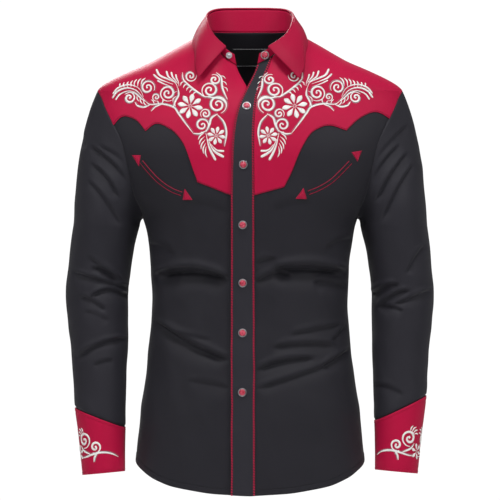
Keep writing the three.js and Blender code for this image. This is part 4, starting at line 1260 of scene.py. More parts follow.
class ShirtSizes(PropertyGroup):
    fold_depth: FloatProperty(
        name="Fold depth", description="How deep the folds are, as a share of the usual depth",
        default=1.4, min=0, max=2)
    saddle_pitch: FloatProperty(
        name="Saddle stitch pitch", description="From one saddle stitch to the next along the placket",
        default=4.1 * MM, unit="LENGTH", subtype="DISTANCE")
    edge_pitch: FloatProperty(
        name="Edge stitch pitch", description="From one fine stitch to the next along the edges",
        default=2.6 * MM, unit="LENGTH", subtype="DISTANCE")
    snap_diameter: FloatProperty(
        name="Snap diameter", description="Outside diameter of a snap's metal rim",
        default=13.2 * MM, unit="LENGTH", subtype="DISTANCE")
    petals: IntProperty(
        name="Petals", description="How many petals each embroidered flower has", default=8, min=5, max=12)
    camera_distance: FloatProperty(
        name="Camera distance", description="From the camera to the middle of the shirt",
        default=4.5, unit="LENGTH", subtype="DISTANCE")
    key_power: FloatProperty(
        name="Key light", description="Power of the two large front lights", default=62, min=0, unit="POWER")


def colour_property(name, description, values):
    return FloatVectorProperty(name=name, description=description, default=srgb(*values), subtype="COLOR",
                               size=3, min=0, max=1)


class ShirtColours(PropertyGroup):
    black: colour_property("Black cloth", "Body, sleeves and placket", (37, 36, 42))
    crimson: colour_property("Crimson cloth", "Yokes, collar and cuffs", (181, 14, 62))
    white: colour_property("White thread", "Embroidery", (250, 250, 247))
    grey: colour_property("Grey thread", "Beside the white thread, and on the label", (150, 150, 154))
    pearl: colour_property("Snap cap", "Deep tone of the pearl snaps", (150, 16, 44))
    pearl_light: colour_property("Snap cap light", "Light swirls in the pearl snaps", (208, 88, 108))
    steel: colour_property("Snap metal", "Rims and studs of the snaps", (206, 206, 210))
    label: colour_property("Label", "The neck label", (24, 25, 28))


CAMERA = {"lens": 200, "sensor": 36, "height": -0.3402, "far": 200}
AIM = (0, 0, -0.35)
# Lights: name, place, width, share of the key light's power
LIGHTS = [
    ("key_left", (-2.5, -2.4, 2), 1.1, 0.9),
    ("key_right", (2.6, -2.3, 1.8), 1.1, 0.86),
    ("top", (0.1, -1.6, 2.8), 0.8, 1.02),
    ("front", (0.3, -4, 0.9), 1.2, 0.12),
    ("back", (-0.8, 3, 1.8), 1.6, 1.6),
]
WORLD = {"seen": 1.05, "fill": 0.22}
FLOOR = {"radius": 1.9, "height": -1.15, "dark": (0.83, 0.83, 0.82), "light": (0.87, 0.87, 0.86)}


class SHIRT_OT_studio(Operator):
    """Camera, soft lights and a pale floor"""
    bl_idname = "shirt.studio"
    bl_label = "Studio"

    def execute(self, context):
        scene = context.scene
        sizes = scene.shirt_sizes
        camera = bpy.data.cameras.new("camera")
        camera.lens = CAMERA["lens"]
        camera.sensor_width = CAMERA["sensor"]
        camera.clip_end = CAMERA["far"]
        scene.camera = self.placed(scene, camera, (0, -sizes.camera_distance, CAMERA["height"]))
        scene.camera.rotation_euler = (math.pi / 2, 0, 0)
        for name, place, width, power in LIGHTS:
            light = bpy.data.lights.new(name, "AREA")
            light.shape = "SQUARE"
            light.size = width
            light.energy = sizes.key_power * power
            aim = Vector(AIM) - Vector(place)
            self.placed(scene, light, place).rotation_euler = aim.to_track_quat("-Z", "Y").to_euler()
        self.make_world(scene)
        self.make_floor()
        scene.view_settings.view_transform = "Standard"
        return {"FINISHED"}

    def placed(self, scene, data, place):
        obj = bpy.data.objects.new(data.name, data)
        obj.location = place
        scene.collection.objects.link(obj)
        return obj

    def make_world(self, scene):
        """White to the camera, and a weak fill for everything else."""
        world = bpy.data.worlds.new("studio")
        scene.world = world
        world.use_nodes = True
        nodes, links = world.node_tree.nodes, world.node_tree.links
        nodes.clear()
        out = nodes.new("ShaderNodeOutputWorld")
        path = nodes.new("ShaderNodeLightPath")
        mix = nodes.new("ShaderNodeMixShader")
        links.new(path.outputs["Is Camera Ray"], mix.inputs["Fac"])
        for socket, strength in ((mix.inputs[1], WORLD["fill"]), (mix.inputs[2], WORLD["seen"])):
            background = nodes.new("ShaderNodeBackground")
            set_inputs(background, {"Color": (1, 1, 1, 1), "Strength": strength})
            links.new(background.outputs["Background"], socket)
        links.new(mix.outputs["Shader"], out.inputs["Surface"])

    def make_floor(self):
        bpy.ops.object.select_all(action="DESELECT")
        bpy.ops.mesh.primitive_circle_add(vertices=96, radius=FLOOR["radius"], fill_type="NGON",
                                          location=(0, 0, FLOOR["height"]))
        floor = bpy.context.object
        floor.name = "floor"
        material, tree, shader = new_material("pale_floor")
        tone = mixed(tree, noise(tree, object_place(tree), 3, 2), FLOOR["dark"], FLOOR["light"])
        tree.links.new(tone, shader.inputs["Base Color"])
        set_inputs(shader, {"Roughness": 0.9})
        floor.data.materials.append(material)


class SHIRT_OT_fronts(Operator):
    """Left and right front, and the placket band"""
    bl_idname = "shirt.fronts"
    bl_label = "Fronts and placket"

    def execute(self, context):
        shares = edged(0, 1, PLACKET_COLUMNS, 0.02)
        band = hem_grid(placket_angle, shares)
        angle, level, relief = (np.concatenate([a[:-1], b]) for a, b in zip(band, panel_grid("left")))
        body_piece("front_left_cloth", angle, level, lap_lift(angle, level) + UNDER + relief,
                   "black_shirting", "front_left", "black_cloth", "hung", ["yoke_front_left"])
        angle, level, relief = (a[::-1] for a in panel_grid("right"))
        body_piece("front_right_cloth", angle, level, UNDER + relief,
                   "black_shirting", "front_right", "black_cloth", "hung", ["yoke_front_right"])
        angle, level, relief = band
        swell = 0.35 * np.sin(math.pi * shares)[:, None] ** 0.4 + relief * 0.4
        # The placket takes the lightened black cloth: painted light
        body_piece("placket_band", angle, level, lap_lift(angle, level) + OVER + swell,
                   "placket_shirting", "placket", "black_cloth", "laid", ["front_left"])
        return {"FINISHED"}


class SHIRT_OT_back(Operator):
    """The back panel"""
    bl_idname = "shirt.back"
    bl_label = "Back"

    def execute(self, context):
        angle, level, relief = joined_halves(panel_grid("back_left"), panel_grid("back_right"))
        body_piece("back_cloth", angle, level, UNDER + relief,
                   "black_shirting", "back", "black_cloth", "hung", ["yoke_back"])
        return {"FINISHED"}


YOKE_STEPS = {"left": (12, 32, 18), "right": (12, 32, 18), "back_left": (28, 18), "back_right": (28, 18)}


def yoke_grid(side, level_of, corners):
    shares = corner_shares(corners, YOKE_STEPS[side])
    levels = level_rows(level_of(shares), *YOKE_ROWS)
    return panel_angle(side, shares[:, None], levels), levels


class SHIRT_OT_yokes(Operator):
    """Two front yokes and the back yoke, with scalloped edges"""
    bl_idname = "shirt.yokes"
    bl_label = "Yokes"

    def execute(self, context):
        grids = {side: yoke_grid(side, *scallop) for side, scallop in yoke_scallops().items()}
        angle, level = grids["left"]
        angle[:2] += SEAM / BODY_AT["front"](level[:2])
        looks = ("crimson_shirting", "yoke_front_left", "crimson_cloth", "hung")
        body_piece("yoke_left_cloth", angle, level, lap_lift(angle, level) + OVER, *looks,
                   ["front_left", "yoke_back"])
        angle, level = (a[::-1] for a in grids["right"])
        looks = ("crimson_shirting", "yoke_front_right", "crimson_cloth", "hung")
        body_piece("yoke_right_cloth", angle, level, OVER, *looks, ["front_right", "yoke_back"])
        angle, level = joined_halves(grids["back_left"], grids["back_right"])
        looks = ("crimson_shirting", "yoke_back", "crimson_cloth", "draped")
        body_piece("yoke_back_cloth", angle, level, OVER, *looks, ["back"])
        return {"FINISHED"}


# Columns round a sleeve, and rows along its tube, over its cap and in the tucked seam allowance
SLEEVE_GRID = {"columns": 128, "tube": 150, "cap": 66, "tucks": (0.55, 1)}
SLEEVE_TUCK = {"depth": 1.5, "before": 0.004, "after": 0.006}


class SHIRT_OT_sleeves(Operator):
    """Two sleeves, each tucked into its cuff and under the edge of its armhole"""
    bl_idname = "shirt.sleeves"
    bl_label = "Sleeves"

    def execute(self, context):
        count, tucks = SLEEVE_GRID["columns"], SLEEVE_GRID["tucks"]
        for word, side in SIDES:
            turns = np.linspace(0, 2 * math.pi, count, endpoint=False)
            if side > 0:
                turns = turns[::-1]
            seam = cuff_top(CUFFS[word], turns)
            last = run_at(seam - CUFF_INSET)[:, None]
            tube = lerp(last, 1.0, edged(0, 1, SLEEVE_GRID["tube"])[None, :-2])
            cap = np.broadcast_to(np.linspace(1, 0, SLEEVE_GRID["cap"]), (count, SLEEVE_GRID["cap"]))
            runs = np.concatenate([tube, cap, np.zeros((count, len(tucks)))], axis=1)
            points = sleeve_surface(side, np.broadcast_to(turns[:, None], runs.shape), runs)
            for k, tuck in enumerate(tucks):
                points[:, k - len(tucks)] = sleeve_head(side, turns, np.full(count, float(tuck)))
            line = run_at(seam)[:, None]
            into_cuff = smooth(runs, line - SLEEVE_TUCK["before"], line + SLEEVE_TUCK["after"])
            # The sleeves take the lightened black cloth: painted light
            piece(f"sleeve_{word}_cloth", points, UNDER - SLEEVE_TUCK["depth"] * into_cuff, WALL,
                  "sleeve_shirting", f"sleeve_{word}", "black_cloth", "hung", [f"front_{word}", "back"],
                  around=True)
        return {"FINISHED"}


CUFF_GRID = {"columns": 120, "rows": 34}
CUFF_GROOVE = {"width": 90, "depth": 0.3, "off": 5, "half": 1.1}


def cuff_rise(degrees):
    """The cuff's height off the sleeve, which grows where it laps over its own start."""
    return SEAM + (STIFF_WALL + SEAM) * smooth(degrees, 315, 360)


class SHIRT_OT_cuffs(Operator):
    """Two cuffs, each a band that laps over its own start"""
    bl_idname = "shirt.cuffs"
    bl_label = "Cuffs"

    def execute(self, context):
        degrees = edged(0, CUFF_TURN, CUFF_GRID["columns"], 0.002)
        shares = edged(0, 1, CUFF_GRID["rows"], 0.005)
        turns = np.radians(CUFF_START + degrees)
        from_edge = np.minimum(shares, 1 - shares) * CUFF_GROOVE["width"]
        groove = CUFF_GROOVE["depth"] * bell(from_edge, CUFF_GROOVE["off"], CUFF_GROOVE["half"])
        for word, side in SIDES:
            top = cuff_top(CUFFS[word], turns)[:, None]
            end = cuff_end(CUFFS[word], turns)[:, None]
            run = run_at(lerp(end, top, shares[None, :]))
            turn = np.broadcast_to(turns[:, None], run.shape)
            lift = np.broadcast_to(cuff_rise(degrees)[:, None], run.shape)
            if side > 0:
                run, turn, lift = run[::-1], turn[::-1], lift[::-1]
            piece(f"cuff_{word}_band", sleeve_surface(side, turn, run, CUFF_CALM),
                  lift + STIFF_WALL / 2 - groove, STIFF_WALL,
                  "crimson_shirting", f"cuff_{word}", "crimson_cloth", "folded", [f"sleeve_{word}"])
        return {"FINISHED"}


STAND_GRID = {"columns": 120, "rows": 14}


class SHIRT_OT_collar(Operator):
    """The collar's stand and its leaf"""
    bl_idname = "shirt.collar"
    bl_label = "Collar"

    def execute(self, context):
        base, outward, up, height, _ = stand_frame(edged(0, 1, STAND_GRID["columns"]))
        rises = edged(0, 1, STAND_GRID["rows"], 0.02)
        points = base[:, None] + up[:, None] * (rises[None, :] * height[:, None])[..., None]
        piece("collar_stand_cloth", points, 0.0, STAND["wall"], "crimson_shirting", "collar_stand",
              "crimson_cloth", "folded", ["yoke_back", "yoke_front_left", "yoke_front_right"],
              normals=np.broadcast_to(outward[:, None], points.shape))
        # The leaf takes the darkened crimson cloth: painted shade
        piece("collar_leaf_cloth", leaf_middle(), 0.0, STIFF_WALL, "collar_shirting", "collar_leaf",
              "crimson_cloth", "folded", ["collar_stand"])
        return {"FINISHED"}


# The yoke's embroidery, as distances from the placket's middle and heights. All of it is mirrored.
FLOWERS = [(82.5, -112.5, 20), (41, -160, 14.5)]

# Spirals: out, up, radius, turns, starting degrees, hand, width
SPIRALS = [
    (39, -110.5, 13.5, 1.8, 250, -1, 3.2),
    (51.5, -87, 12, 1.7, 300, 1, 3),
    (44.5, -69.5, 8, 1.4, 60, 1, 2.8),
    (58, -125, 7.5, 1.5, 320, 1, 2.6),
    (63.5, -143, 10.5, 1.6, 280, -1, 2.8),
    (118.5, -91, 12, 1.8, 240, 1, 3),
    (151, -81, 10.5, 1.6, 210, -1, 2.8),
    (180.5, -97, 8.5, 1.4, 80, 1, 3.2),
    (137, -97, 6, 1.4, 250, 1, 2.2),
    (82, -64, 8.5, 1.5, 170, 1, 2.6),
]

# Stems: width and line
STEMS = [
    (3, [(77.5, -156), (90.5, -139), (101, -124.5), (109, -114), (127.5, -108.5), (146, -109), (155, -103)]),
    (2.4, [(154, -104), (161, -99), (171, -90), (180, -88), (188, -91)]),
    (2.8, [(146, -109), (156.5, -113), (167, -110.5), (171.5, -104)]),
    (2.2, [(127.5, -109), (138, -113), (145, -120)]),
    (3, [(102, -83.5), (101, -94), (106.5, -105), (109.5, -115)]),
    (3, [(95, -58), (94, -68), (88, -76), (77.5, -85), (68, -92), (59, -97.5), (50, -97)]),
    (3, [(42, -57.5), (34.5, -65), (32, -83), (24, -102)]),
    (2.8, [(60, -97), (48, -99), (34, -101), (26, -109), (26.5, -118)]),
    (3, [(40, -126), (29, -139), (25, -156), (28, -177)]),
    (3.4, [(39, -125.5), (48.5, -132), (52, -143), (57.5, -154)]),
    (2.6, [(78, -156), (68, -157), (58, -153)]),
]

# Plumes: first and last foot, line of the tips, blades, bow, width
PLUMES = [
    ([(194, -80.5), (162, -79)], [(196, -73), (180, -70), (166, -66.5), (155, -65.5)], 7, 0.16, 2.4),
    ([(60.5, -156), (57, -177)], [(69.5, -166), (67, -177), (62, -187), (55.5, -194)], 5, -0.12, 2.3),
    ([(128, -108), (140, -108.5)], [(127, -99), (133, -103.5), (145, -101)], 3, -0.15, 2),
    ([(92, -72), (70, -90)], [(98, -79), (88, -88), (78, -94)], 5, -0.2, 2),
    ([(168, -92), (158, -100)], [(165, -103), (160, -107), (152, -111)], 3, -0.15, 2),
    ([(104, -88), (104, -103)], [(112, -97), (110, -106), (106, -113)], 3, -0.2, 1.8),
    ([(36, -62), (32, -80)], [(28, -66), (26, -76), (24, -88)], 3, 0.2, 1.8),
]

# Leaves with a round end: width and line
CLUBS = [
    (3.2, [(155, -103), (163, -92), (171, -84.5), (185, -81), (200, -86), (208.5, -97)]),
    (2.8, [(172, -87), (184, -86), (196, -91), (203, -100)]),
    (2.8, [(158, -96), (162, -86), (170, -79), (184, -76), (199, -80.5), (208, -90)]),
    (3.6, [(102, -84), (107, -74), (120, -67.5), (132, -61.5), (138, -51)]),
    (3, [(110, -76.5), (121, -72.5), (134, -67), (142.5, -59.5)]),
    (2.4, [(111, -81), (118, -78.5), (127.5, -74.5), (136, -70)]),
    (3.2, [(104, -74), (111, -69.5), (118, -64), (121.5, -54.5)]),
    (3, [(102, -76), (106, -70.5), (111, -64.5), (113.5, -56.5)]),
    (2.6, [(100.5, -80), (101.5, -73.5), (104.5, -67), (106, -60.5)]),
    (4, [(57.5, -156), (52, -179), (42, -199)]),
    (4.2, [(54, -166), (45, -183.5), (29, -194)]),
    (3.4, [(49, -174), (40, -183), (28.5, -184.5)]),
]


def taper(count, width, tip=0.12, blunt=0.55):
    share = np.linspace(0, 1, count)
    return width * (tip + (1 - tip) * np.sin(math.pi * np.clip(share, 0.02, 0.98)) ** blunt)


def flower_shapes(out, up, radius, petals):
    shapes = []
    for k in range(petals):
        turn = 2 * math.pi * (k + 0.25) / petals
        way = np.array([math.cos(turn), math.sin(turn)])
        line = np.array([out, up]) + np.linspace(0.24, 1, 18)[:, None] * radius * way
        share = np.linspace(0, 1, 18)
        width = radius * 0.4 * (0.1 + 0.9 * np.sin(math.pi * np.clip(share, 0.02, 0.985) ** 1.5) ** 0.8)
        shapes.append(stroke(line, width, 0.8))
        vein = np.array([out, up]) + np.linspace(0.06, 0.22, 5)[:, None] * radius * way
        shapes.append(stroke(vein, np.full(5, 0.7), 0.5))
    return shapes


def spiral_shapes(out, up, radius, turns, start, hand, width):
    line = spiral_line(out, up, radius, turns, start, hand, width)
    share = np.linspace(0, 1, len(line))
    thick = width * (0.22 + 0.88 * np.sin(math.pi * np.clip(share * 0.9 + 0.03, 0, 1)) ** 0.9)
    end = line[-1]
    knob = np.stack([end + [across, 0] for across in np.linspace(-0.5, 0.5, 6) * width])
    return [stroke(line, thick), stroke(knob, taper(6, width * 1.25), 0.7)]


def plume_shapes(feet, tips, blades, bow, width):
    """Curved blades side by side, from a short line of feet to a line of tips."""
    feet, tips = np.array(feet, float), spline(tips, 0.5)
    shapes = []
    for share in np.linspace(0, 1, blades):
        foot = lerp(feet[0], feet[1], share)
        tip = tips[int(share * (len(tips) - 1))]
        way = tip - foot
        bent = lerp(foot, tip, 0.55) + np.array([way[1], -way[0]]) * bow
        line = spline([foot, bent, tip], 0.8)
        along_it = np.linspace(0, 1, len(line))
        swell = np.sin(math.pi * np.clip(along_it, 0.02, 0.96) ** 1.3)
        shapes.append(stroke(line, width * (0.25 + 0.75 * swell)))
    return shapes


def club_shape(width, points):
    """A leaf that widens towards its round end."""
    line = spline(points, 0.7)
    share = np.linspace(0, 1, len(line))
    end = np.sqrt(np.clip(1 - (np.clip(share - 0.93, 0, 1) / 0.071) ** 2, 0.02, 1))
    return stroke(line, width * (0.25 + 0.75 * smooth(share, 0, 0.85)) * end, 0.7)


def shading(line, width, reach=1.0):
    """A thin grey line beside a white stroke."""
    line = line[: max(int(len(line) * reach), 4)]
    return stroke(line + beside(line) * (width / 2 + 0.7), taper(len(line), 1), 0.35)


def spiral_line(out, up, radius, turns, start, hand, width):
    share = np.linspace(0, 1, int(30 * turns))
    turn = math.radians(start) + hand * 2 * math.pi * turns * share
    reach = radius * (1 - share) ** 0.75 + 0.1 * radius
    return np.stack([out + reach * np.cos(turn), up + reach * np.sin(turn)], -1)


def spiral_shading(spiral):
    line = spiral_line(*spiral)
    hand, width = spiral[5:]
    return shading(line if hand < 0 else line[::-1][int(len(line) * 0.45):], width, 0.55)


def pattern(flowers, spirals, stems, plumes, clubs=()):
    """White shapes of one pattern, and a grey line beside each stem."""
    shapes = [shape for flower in flowers for shape in flower_shapes(*flower)]
    shapes.extend(shape for spiral in spirals for shape in spiral_shapes(*spiral))
    lines = [(spline(points, 1), width) for width, points in stems]
    shapes.extend(stroke(line, taper(len(line), width)) for line, width in lines)
    shapes.extend(shape for plume in plumes for shape in plume_shapes(*plume))
    shapes.extend(club_shape(*club) for club in clubs)
    return shapes, [shading(line, width * 0.9) for line, width in lines]


def yoke_pattern(petals):
    shapes, greys = pattern([(*flower, petals) for flower in FLOWERS], SPIRALS, STEMS, PLUMES, CLUBS)
    return shapes, [spiral_shading(spiral) for spiral in SPIRALS] + greys


# The cuff's embroidery: distance round from its middle, forwards, and height above its lower edge
CUFF_SPIRALS = [
    (9, 55, 12, 1.5, 260, 1, 3.8), (30, 42.5, 9, 1.4, 240, 1, 3.4),
    (-29, 55, 12, 1.5, 280, -1, 3.8), (-50, 42.5, 9, 1.4, 300, -1, 3.4),
]
CUFF_STEMS = [
    (3.2, [(-4, 27), (10, 28), (24, 31), (38, 33), (54, 31), (71, 24)]),
    (3.2, [(-16, 27), (-30, 28), (-44, 31), (-58, 33), (-74, 31), (-90, 24)]),
    (3, [(-2, 47), (6, 38), (20, 32)]),
    (3, [(-18, 47), (-26, 38), (-40, 32)]),
    (3.4, [(33, 33), (28, 27), (26, 19)]),
    (3.4, [(-53, 33), (-48, 27), (-46, 19)]),
]
CUFF_PLUMES = [
    ([(0, 62), (8, 66)], [(-9, 62), (-6, 72), (4, 75)], 4, 0.15, 2.4),
    ([(-20, 62), (-28, 66)], [(-11, 64), (-14, 73), (-24, 75)], 4, -0.15, 2.4),
]
CUFF_FLOWER = (-10, 35, 13)
CUFF_RADIUS = 38
CUFF_MIDDLE_TURN = {"right": 30, "left": 51}
PATTERN_MIDDLE = -12
LAID_GAP = 0.05


def cuff_pattern(petals):
    return pattern([(*CUFF_FLOWER, max(petals - 2, 3))], CUFF_SPIRALS, CUFF_STEMS, CUFF_PLUMES)


class SHIRT_OT_embroidery(Operator):
    """Scrolls and flowers in white thread on the front yokes and the outer side of the cuffs"""
    bl_idname = "shirt.embroidery"
    bl_label = "Embroidery"

    def execute(self, context):
        petals = context.scene.shirt_sizes.petals
        patterns = {"yoke": yoke_pattern(petals), "cuff": cuff_pattern(petals)}
        for word, hand in SIDES:
            def on_yoke(out, up, rise):
                angle, level = locate(PATTERN_MIDDLE + hand * out, up)
                lift = lap_lift(angle, level) if hand > 0 else 0
                return body_layer(angle, level, lift + STEP + LAID_GAP + rise)

            def on_cuff(out, up, rise):
                turn = out / CUFF_RADIUS + math.radians(CUFF_MIDDLE_TURN[word])
                run = run_at(cuff_end(CUFFS[word], turn) + up)
                return sleeve_layer(hand, turn, run, SEAM + STIFF_WALL + LAID_GAP + rise, CUFF_CALM)

            for place, surface in (("yoke", on_yoke), ("cuff", on_cuff)):
                white, grey = patterns[place]
                name = f"embroidery_{place}_{word}"
                sew(name, laid(white, surface), "white_thread", "crimson_cloth")
                sew(f"{name}_shading", laid(grey, surface), "grey_thread", "crimson_cloth")
        return {"FINISHED"}


POCKET_LIPS = {"off": 1.25, "width": 2.4, "height": 0.7}
POCKET_PIPES = {"off": 2.9, "width": 1, "height": 0.9}


class SHIRT_OT_pockets(Operator):
    """Smile pockets: two pipings with a welt between them, and an arrowhead at each end"""
    bl_idname = "shirt.pockets"
    bl_label = "Smile pockets"

    def execute(self, context):
        def on_front(x, z, rise):
            angle, level = locate(x, z)
            return body_layer(angle, level, LAID_GAP + rise)

        for word, pocket in POCKETS.items():
            line = spline(pocket["welt"], 1.2)
            lips = laid(twin_strokes(line, **POCKET_LIPS), on_front)
            sew(f"pocket_lips_{word}", lips, "black_shirting", "black_cloth")
            pipes = laid(twin_strokes(line, **POCKET_PIPES), on_front)
            piping = joined_mesh(f"pocket_piping_{word}", pipes, "crimson_thread")
            fit(piping, f"pocket_welt_{word}", "crimson_cloth")
            for k, tip in enumerate(pocket["tips"]):
                point, one, other = np.array(tip, float)
                share = np.linspace(0.03, 1, 14)[:, None]
                head = laid([blade(lerp(point, one, share), lerp(point, other, share), 1)], on_front)
                arrow = joined_mesh(f"pocket_tip_{word}_{k + 1}", head, "crimson_thread")
                fit(arrow, f"pocket_arrow_{word}_{k + 1}", "crimson_cloth")
        return {"FINISHED"}


def body_line(angle, level, off):
    return body_layer(angle, level, off), body_normal(angle, level)


class SHIRT_OT_stitching(Operator):
    """Crimson saddle stitches along the placket, and fine stitches along the edges of the pieces"""
    bl_idname = "shirt.stitching"
    bl_label = "Stitching"

    def execute(self, context):
        sizes = context.scene.shirt_sizes
        fine = sizes.edge_pitch / MM
        self.placket(sizes.saddle_pitch / MM)
        for name, lines, thread, slot in (
            ("yoke_edge_stitch", self.yokes(), "black_thread", "black_cloth"),
            ("collar_edge_stitch", self.collar(), "seam_thread", "crimson_cloth"),
            ("cuff_edge_stitch", self.cuffs(), "crimson_thread", "crimson_cloth"),
            ("hem_stitch", self.hem(), "black_thread", "black_cloth"),
        ):
            tubes = []
            for points, normals in lines:
                tubes += stitch_tubes(points, normals, fine, **FINE_STITCH)
            sew(name, tubes, thread, slot)
        return {"FINISHED"}

    def placket(self, pitch):
        level = np.linspace(float(level_at(0.0, -728.0)), NECK - 0.05, 400)
        tubes, core = [], []
        for edge, inset in (("inner", 1.6), ("outer", -1.6)):
            angle = edge_angle(edge, level) + inset / BODY_AT["front"](level)
            line = body_line(angle, level, lap_lift(angle, level) + SEAM + WALL)
            core += stitch_tubes(*line, pitch / 2, pitch / 2, SADDLE_CORE)
            tubes += stitch_tubes(*line, pitch, **SADDLE_STITCH)
        sew("placket_saddle_core", core, "seam_thread", "crimson_cloth")
        sew("placket_saddle_stitch", tubes, "saddle_thread", "crimson_cloth")

    def yokes(self):
        share = np.linspace(0.01, 0.995, 260)
        for side, (level_of, _) in yoke_scallops().items():
            level = level_of(share) + 0.035
            angle = panel_angle(side, share, level)
            lift = lap_lift(angle, level) if side == "left" else 0
            yield body_line(angle, level, lift + STEP)

    def collar(self):
        middle = leaf_middle()
        normals = grid_normals(middle)
        outer = middle + normals * STIFF_WALL / 2
        yield outer[2:-2, -3], normals[2:-2, -3]
        for column in (2, -3):
            yield outer[column, 9:-2], normals[column, 9:-2]

    def cuffs(self):
        degrees = np.linspace(3, CUFF_TURN - 3, 240)
        turn = np.radians(CUFF_START + degrees)
        for word, side in SIDES:
            for z in (cuff_top(CUFFS[word], turn) - 4, cuff_end(CUFFS[word], turn) + 4):
                run = run_at(z)
                points = sleeve_layer(side, turn, run, cuff_rise(degrees) + STIFF_WALL, CUFF_CALM)
                yield points, sleeve_normal(side, turn, run)

    def hem(self):
        share = np.linspace(0.01, 0.99, 200)
        for side in QUARTERS:
            bottom = hem_levels(lambda part, level: panel_angle(side, part, level), share)
            level = bottom + HEM_STITCH / HEM_LEVEL
            angle = panel_angle(side, share, level)
            lift = lap_lift(angle, level) if side == "left" else 0
            yield body_line(angle, level, lift + 0.1)


class SHIRT_OT_label(Operator):
    """A bare woven label inside the back of the neck"""
    bl_idname = "shirt.label"
    bl_label = "Label"

    def execute(self, context):
        x = edged(-LABEL["half_width"], LABEL["half_width"], 26, 0.01)[::-1]
        z = edged(LABEL["bottom"], LABEL["top"], 14, 0.02)
        angle, level = locate(x[:, None], z[None, :], True)
        points = body_surface(angle, level)
        obj, cut = cloth("neck_label_cloth", points, -LABEL["inset"] - LABEL["wall"] / 2, LABEL["wall"],
                         "label_weave")
        fit(obj, "neck_label", "label")
        tubes = []
        for row in (1, -2):
            normal = body_normal(angle[2:-2, row], level[2:-2, row])
            inside = points[2:-2, row] - normal * (LABEL["inset"] + LABEL["wall"])
            tubes += stitch_tubes(inside, -normal, **LABEL_STITCH)
        sew("label_stitch", tubes, "grey_thread", "label")
        declare(obj, cut, "laid", ["back"])
        return {"FINISHED"}


# Pressed metal parts: faces round, insets of the upper face as width and rise, and the rounded edge
RIM = {"vertices": 40, "height": 1.9, "insets": [(0.55, 0), (0.75, -0.35), (0.2, -0.8)], "bevel": 0.28,
       "segments": 3}
STUD = {"vertices": 36, "height": 0.9, "bevel": 0.18, "segments": 2,
        "insets": [(1, 0), (0.4, -0.4), (1.3, 0), (0.25, 1.7), (0.5, 0.25)]}
STUD_RADIUS = 5
CAP = {"inset": 1.55, "flat": 0.42, "rise": 0.95}


def finished(obj, degrees, material):
    bpy.ops.object.transform_apply(location=True, rotation=True, scale=True)
    bpy.ops.object.shade_smooth_by_angle(angle=math.radians(degrees))
    obj.data.materials.append(material_of(material))
    return obj


def pressed(radius, vertices, height, insets, bevel, segments):
    """A disc of sheet metal whose upper face steps in and up or down, ring by ring."""
    bpy.ops.object.select_all(action="DESELECT")
    bpy.ops.mesh.primitive_cylinder_add(vertices=vertices, radius=radius, depth=height * MM,
                                        location=(0, 0, height * MM / 2))
    obj = bpy.context.object
    bpy.ops.object.mode_set(mode="EDIT")
    bpy.ops.mesh.select_mode(type="FACE")
    mesh = bmesh.from_edit_mesh(obj.data)
    for face in mesh.faces:
        face.select = face.normal.z > 0.9
    mesh.select_flush_mode()
    bmesh.update_edit_mesh(obj.data)
    for width, rise in insets:
        bpy.ops.mesh.inset(thickness=width * MM, depth=rise * MM)
    bpy.ops.object.mode_set(mode="OBJECT")
    rounding = obj.modifiers.new("bevel", "BEVEL")
    rounding.width = bevel * MM
    rounding.segments = segments
    rounding.angle_limit = math.radians(35)
    bpy.ops.object.modifier_apply(modifier="bevel")
    return finished(obj, 40, "snap_steel")


def domed(radius):
    """A low polished dome that sits in the rim."""
    bpy.ops.object.select_all(action="DESELECT")
    bpy.ops.mesh.primitive_uv_sphere_add(segments=36, ring_count=18, radius=radius, location=(0, 0, 0))
    obj = bpy.context.object
    bpy.ops.object.mode_set(mode="EDIT")
    bpy.ops.mesh.select_all(action="SELECT")
    bpy.ops.mesh.bisect(plane_co=(0, 0, 0), plane_no=(0, 0, 1), use_fill=True, clear_inner=True)
    bpy.ops.mesh.select_all(action="SELECT")
    bpy.ops.transform.resize(value=(1, 1, CAP["flat"]))
    bpy.ops.transform.translate(value=(0, 0, CAP["rise"] * MM))
    bpy.ops.object.mode_set(mode="OBJECT")
    return finished(obj, 50, "snap_cap")


def neck_snap(share):
    """Place and direction of the snap at one end of the collar's stand."""
    base, outward, up, height, _ = stand_frame(np.array([share]))
    point = base + up * (0.5 * height)[:, None] + outward * (STAND["wall"] / 2 + SNAP_GAP)
    return point[0], outward[0]


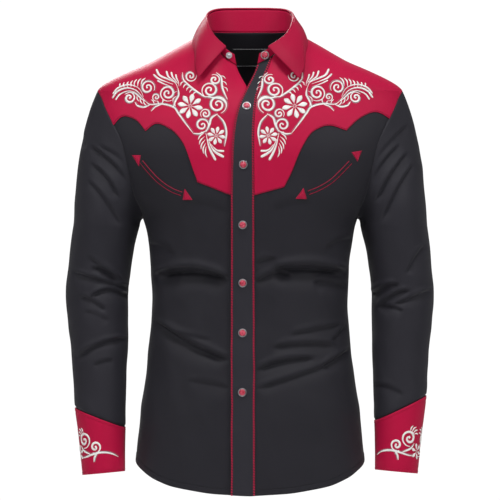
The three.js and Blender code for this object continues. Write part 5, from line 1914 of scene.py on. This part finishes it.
class SHIRT_OT_snaps(Operator):
    """Pearl snaps in metal rims down the placket and on the cuffs, and the open one at the neck"""
    bl_idname = "shirt.snaps"
    bl_label = "Snaps"

    def execute(self, context):
        radius = context.scene.shirt_sizes.snap_diameter / 2
        rim = pressed(radius, **RIM)
        cap = domed(radius - CAP["inset"] * MM)
        stud = pressed(STUD_RADIUS * MM, **STUD)
        for name, point, normal in self.places():
            self.put(rim, f"{name}_setting", point, normal, f"{name}_rim", "snap_metal")
            self.put(cap, f"{name}_cap", point, normal, f"{name}_pearl", "snap_pearl")
        self.put(stud, "neck_stud", *neck_snap(1 - STAND_END), "snap_neck_stud", "snap_metal")
        for obj in (rim, cap, stud):
            bpy.data.objects.remove(obj)
        return {"FINISHED"}

    def places(self):
        snap_x = curve_of(SNAP_LINE)
        for k, z in enumerate(SNAP_HEIGHTS):
            angle, level = locate(np.array([snap_x(z)]), np.array([float(z)]))
            lift = lap_lift(angle, level) + 2 * SEAM + WALL
            yield f"snap_front_{k + 1}", body_layer(angle, level, lift)[0], body_normal(angle, level)[0]
        turn = np.radians([CUFF_START + CUFF_SNAP_TURN])
        off = SEAM + 2 * (STIFF_WALL + SEAM)
        for word, side in SIDES:
            for k, drop in enumerate(CUFF_SNAP_DROPS):
                run = run_at(cuff_top(CUFFS[word], turn) - drop)
                point = sleeve_layer(side, turn, run, off, CUFF_CALM)[0]
                yield f"snap_cuff_{word}_{k + 1}", point, sleeve_normal(side, turn, run)[0]
        yield "snap_neck", *neck_snap(STAND_END)

    def put(self, pattern, name, point, normal, node, slot):
        obj = pattern.copy()
        obj.data = pattern.data.copy()
        obj.name = name
        obj.data.name = name
        bpy.context.collection.objects.link(obj)
        turn = Vector(normal).to_track_quat("Z", "Y").to_matrix().to_4x4()
        obj.data.transform(Matrix.Translation(Vector(point) * MM) @ turn)
        fit(obj, node, slot)


CLASSES = [ShirtSizes, ShirtColours, SHIRT_OT_studio, SHIRT_OT_fronts, SHIRT_OT_back, SHIRT_OT_yokes,
           SHIRT_OT_sleeves, SHIRT_OT_cuffs, SHIRT_OT_collar, SHIRT_OT_label, SHIRT_OT_pockets,
           SHIRT_OT_embroidery, SHIRT_OT_stitching, SHIRT_OT_snaps]
STEPS = [item.bl_idname for item in CLASSES if issubclass(item, Operator)]


class SHIRT_PT_pieces(Panel):
    bl_label = "Western snap shirt"
    bl_idname = "SHIRT_PT_pieces"
    bl_space_type = "VIEW_3D"
    bl_region_type = "UI"
    bl_category = "Shirt"

    def draw(self, context):
        for step in STEPS:
            self.layout.operator(step)
        for group in (context.scene.shirt_sizes, context.scene.shirt_colours):
            for name in group.bl_rna.properties.keys():
                if name not in ("name", "rna_type"):
                    self.layout.prop(group, name)


def register():
    for item in (*CLASSES, SHIRT_PT_pieces):
        bpy.utils.register_class(item)
    bpy.types.Scene.shirt_sizes = PointerProperty(type=ShirtSizes)
    bpy.types.Scene.shirt_colours = PointerProperty(type=ShirtColours)


def unregister():
    del bpy.types.Scene.shirt_sizes
    del bpy.types.Scene.shirt_colours
    for item in reversed((*CLASSES, SHIRT_PT_pieces)):
        bpy.utils.unregister_class(item)


def main():
    register()
    for step in STEPS:
        group, name = step.split(".")
        getattr(getattr(bpy.ops, group), name)()


if __name__ == "__main__":
    main()
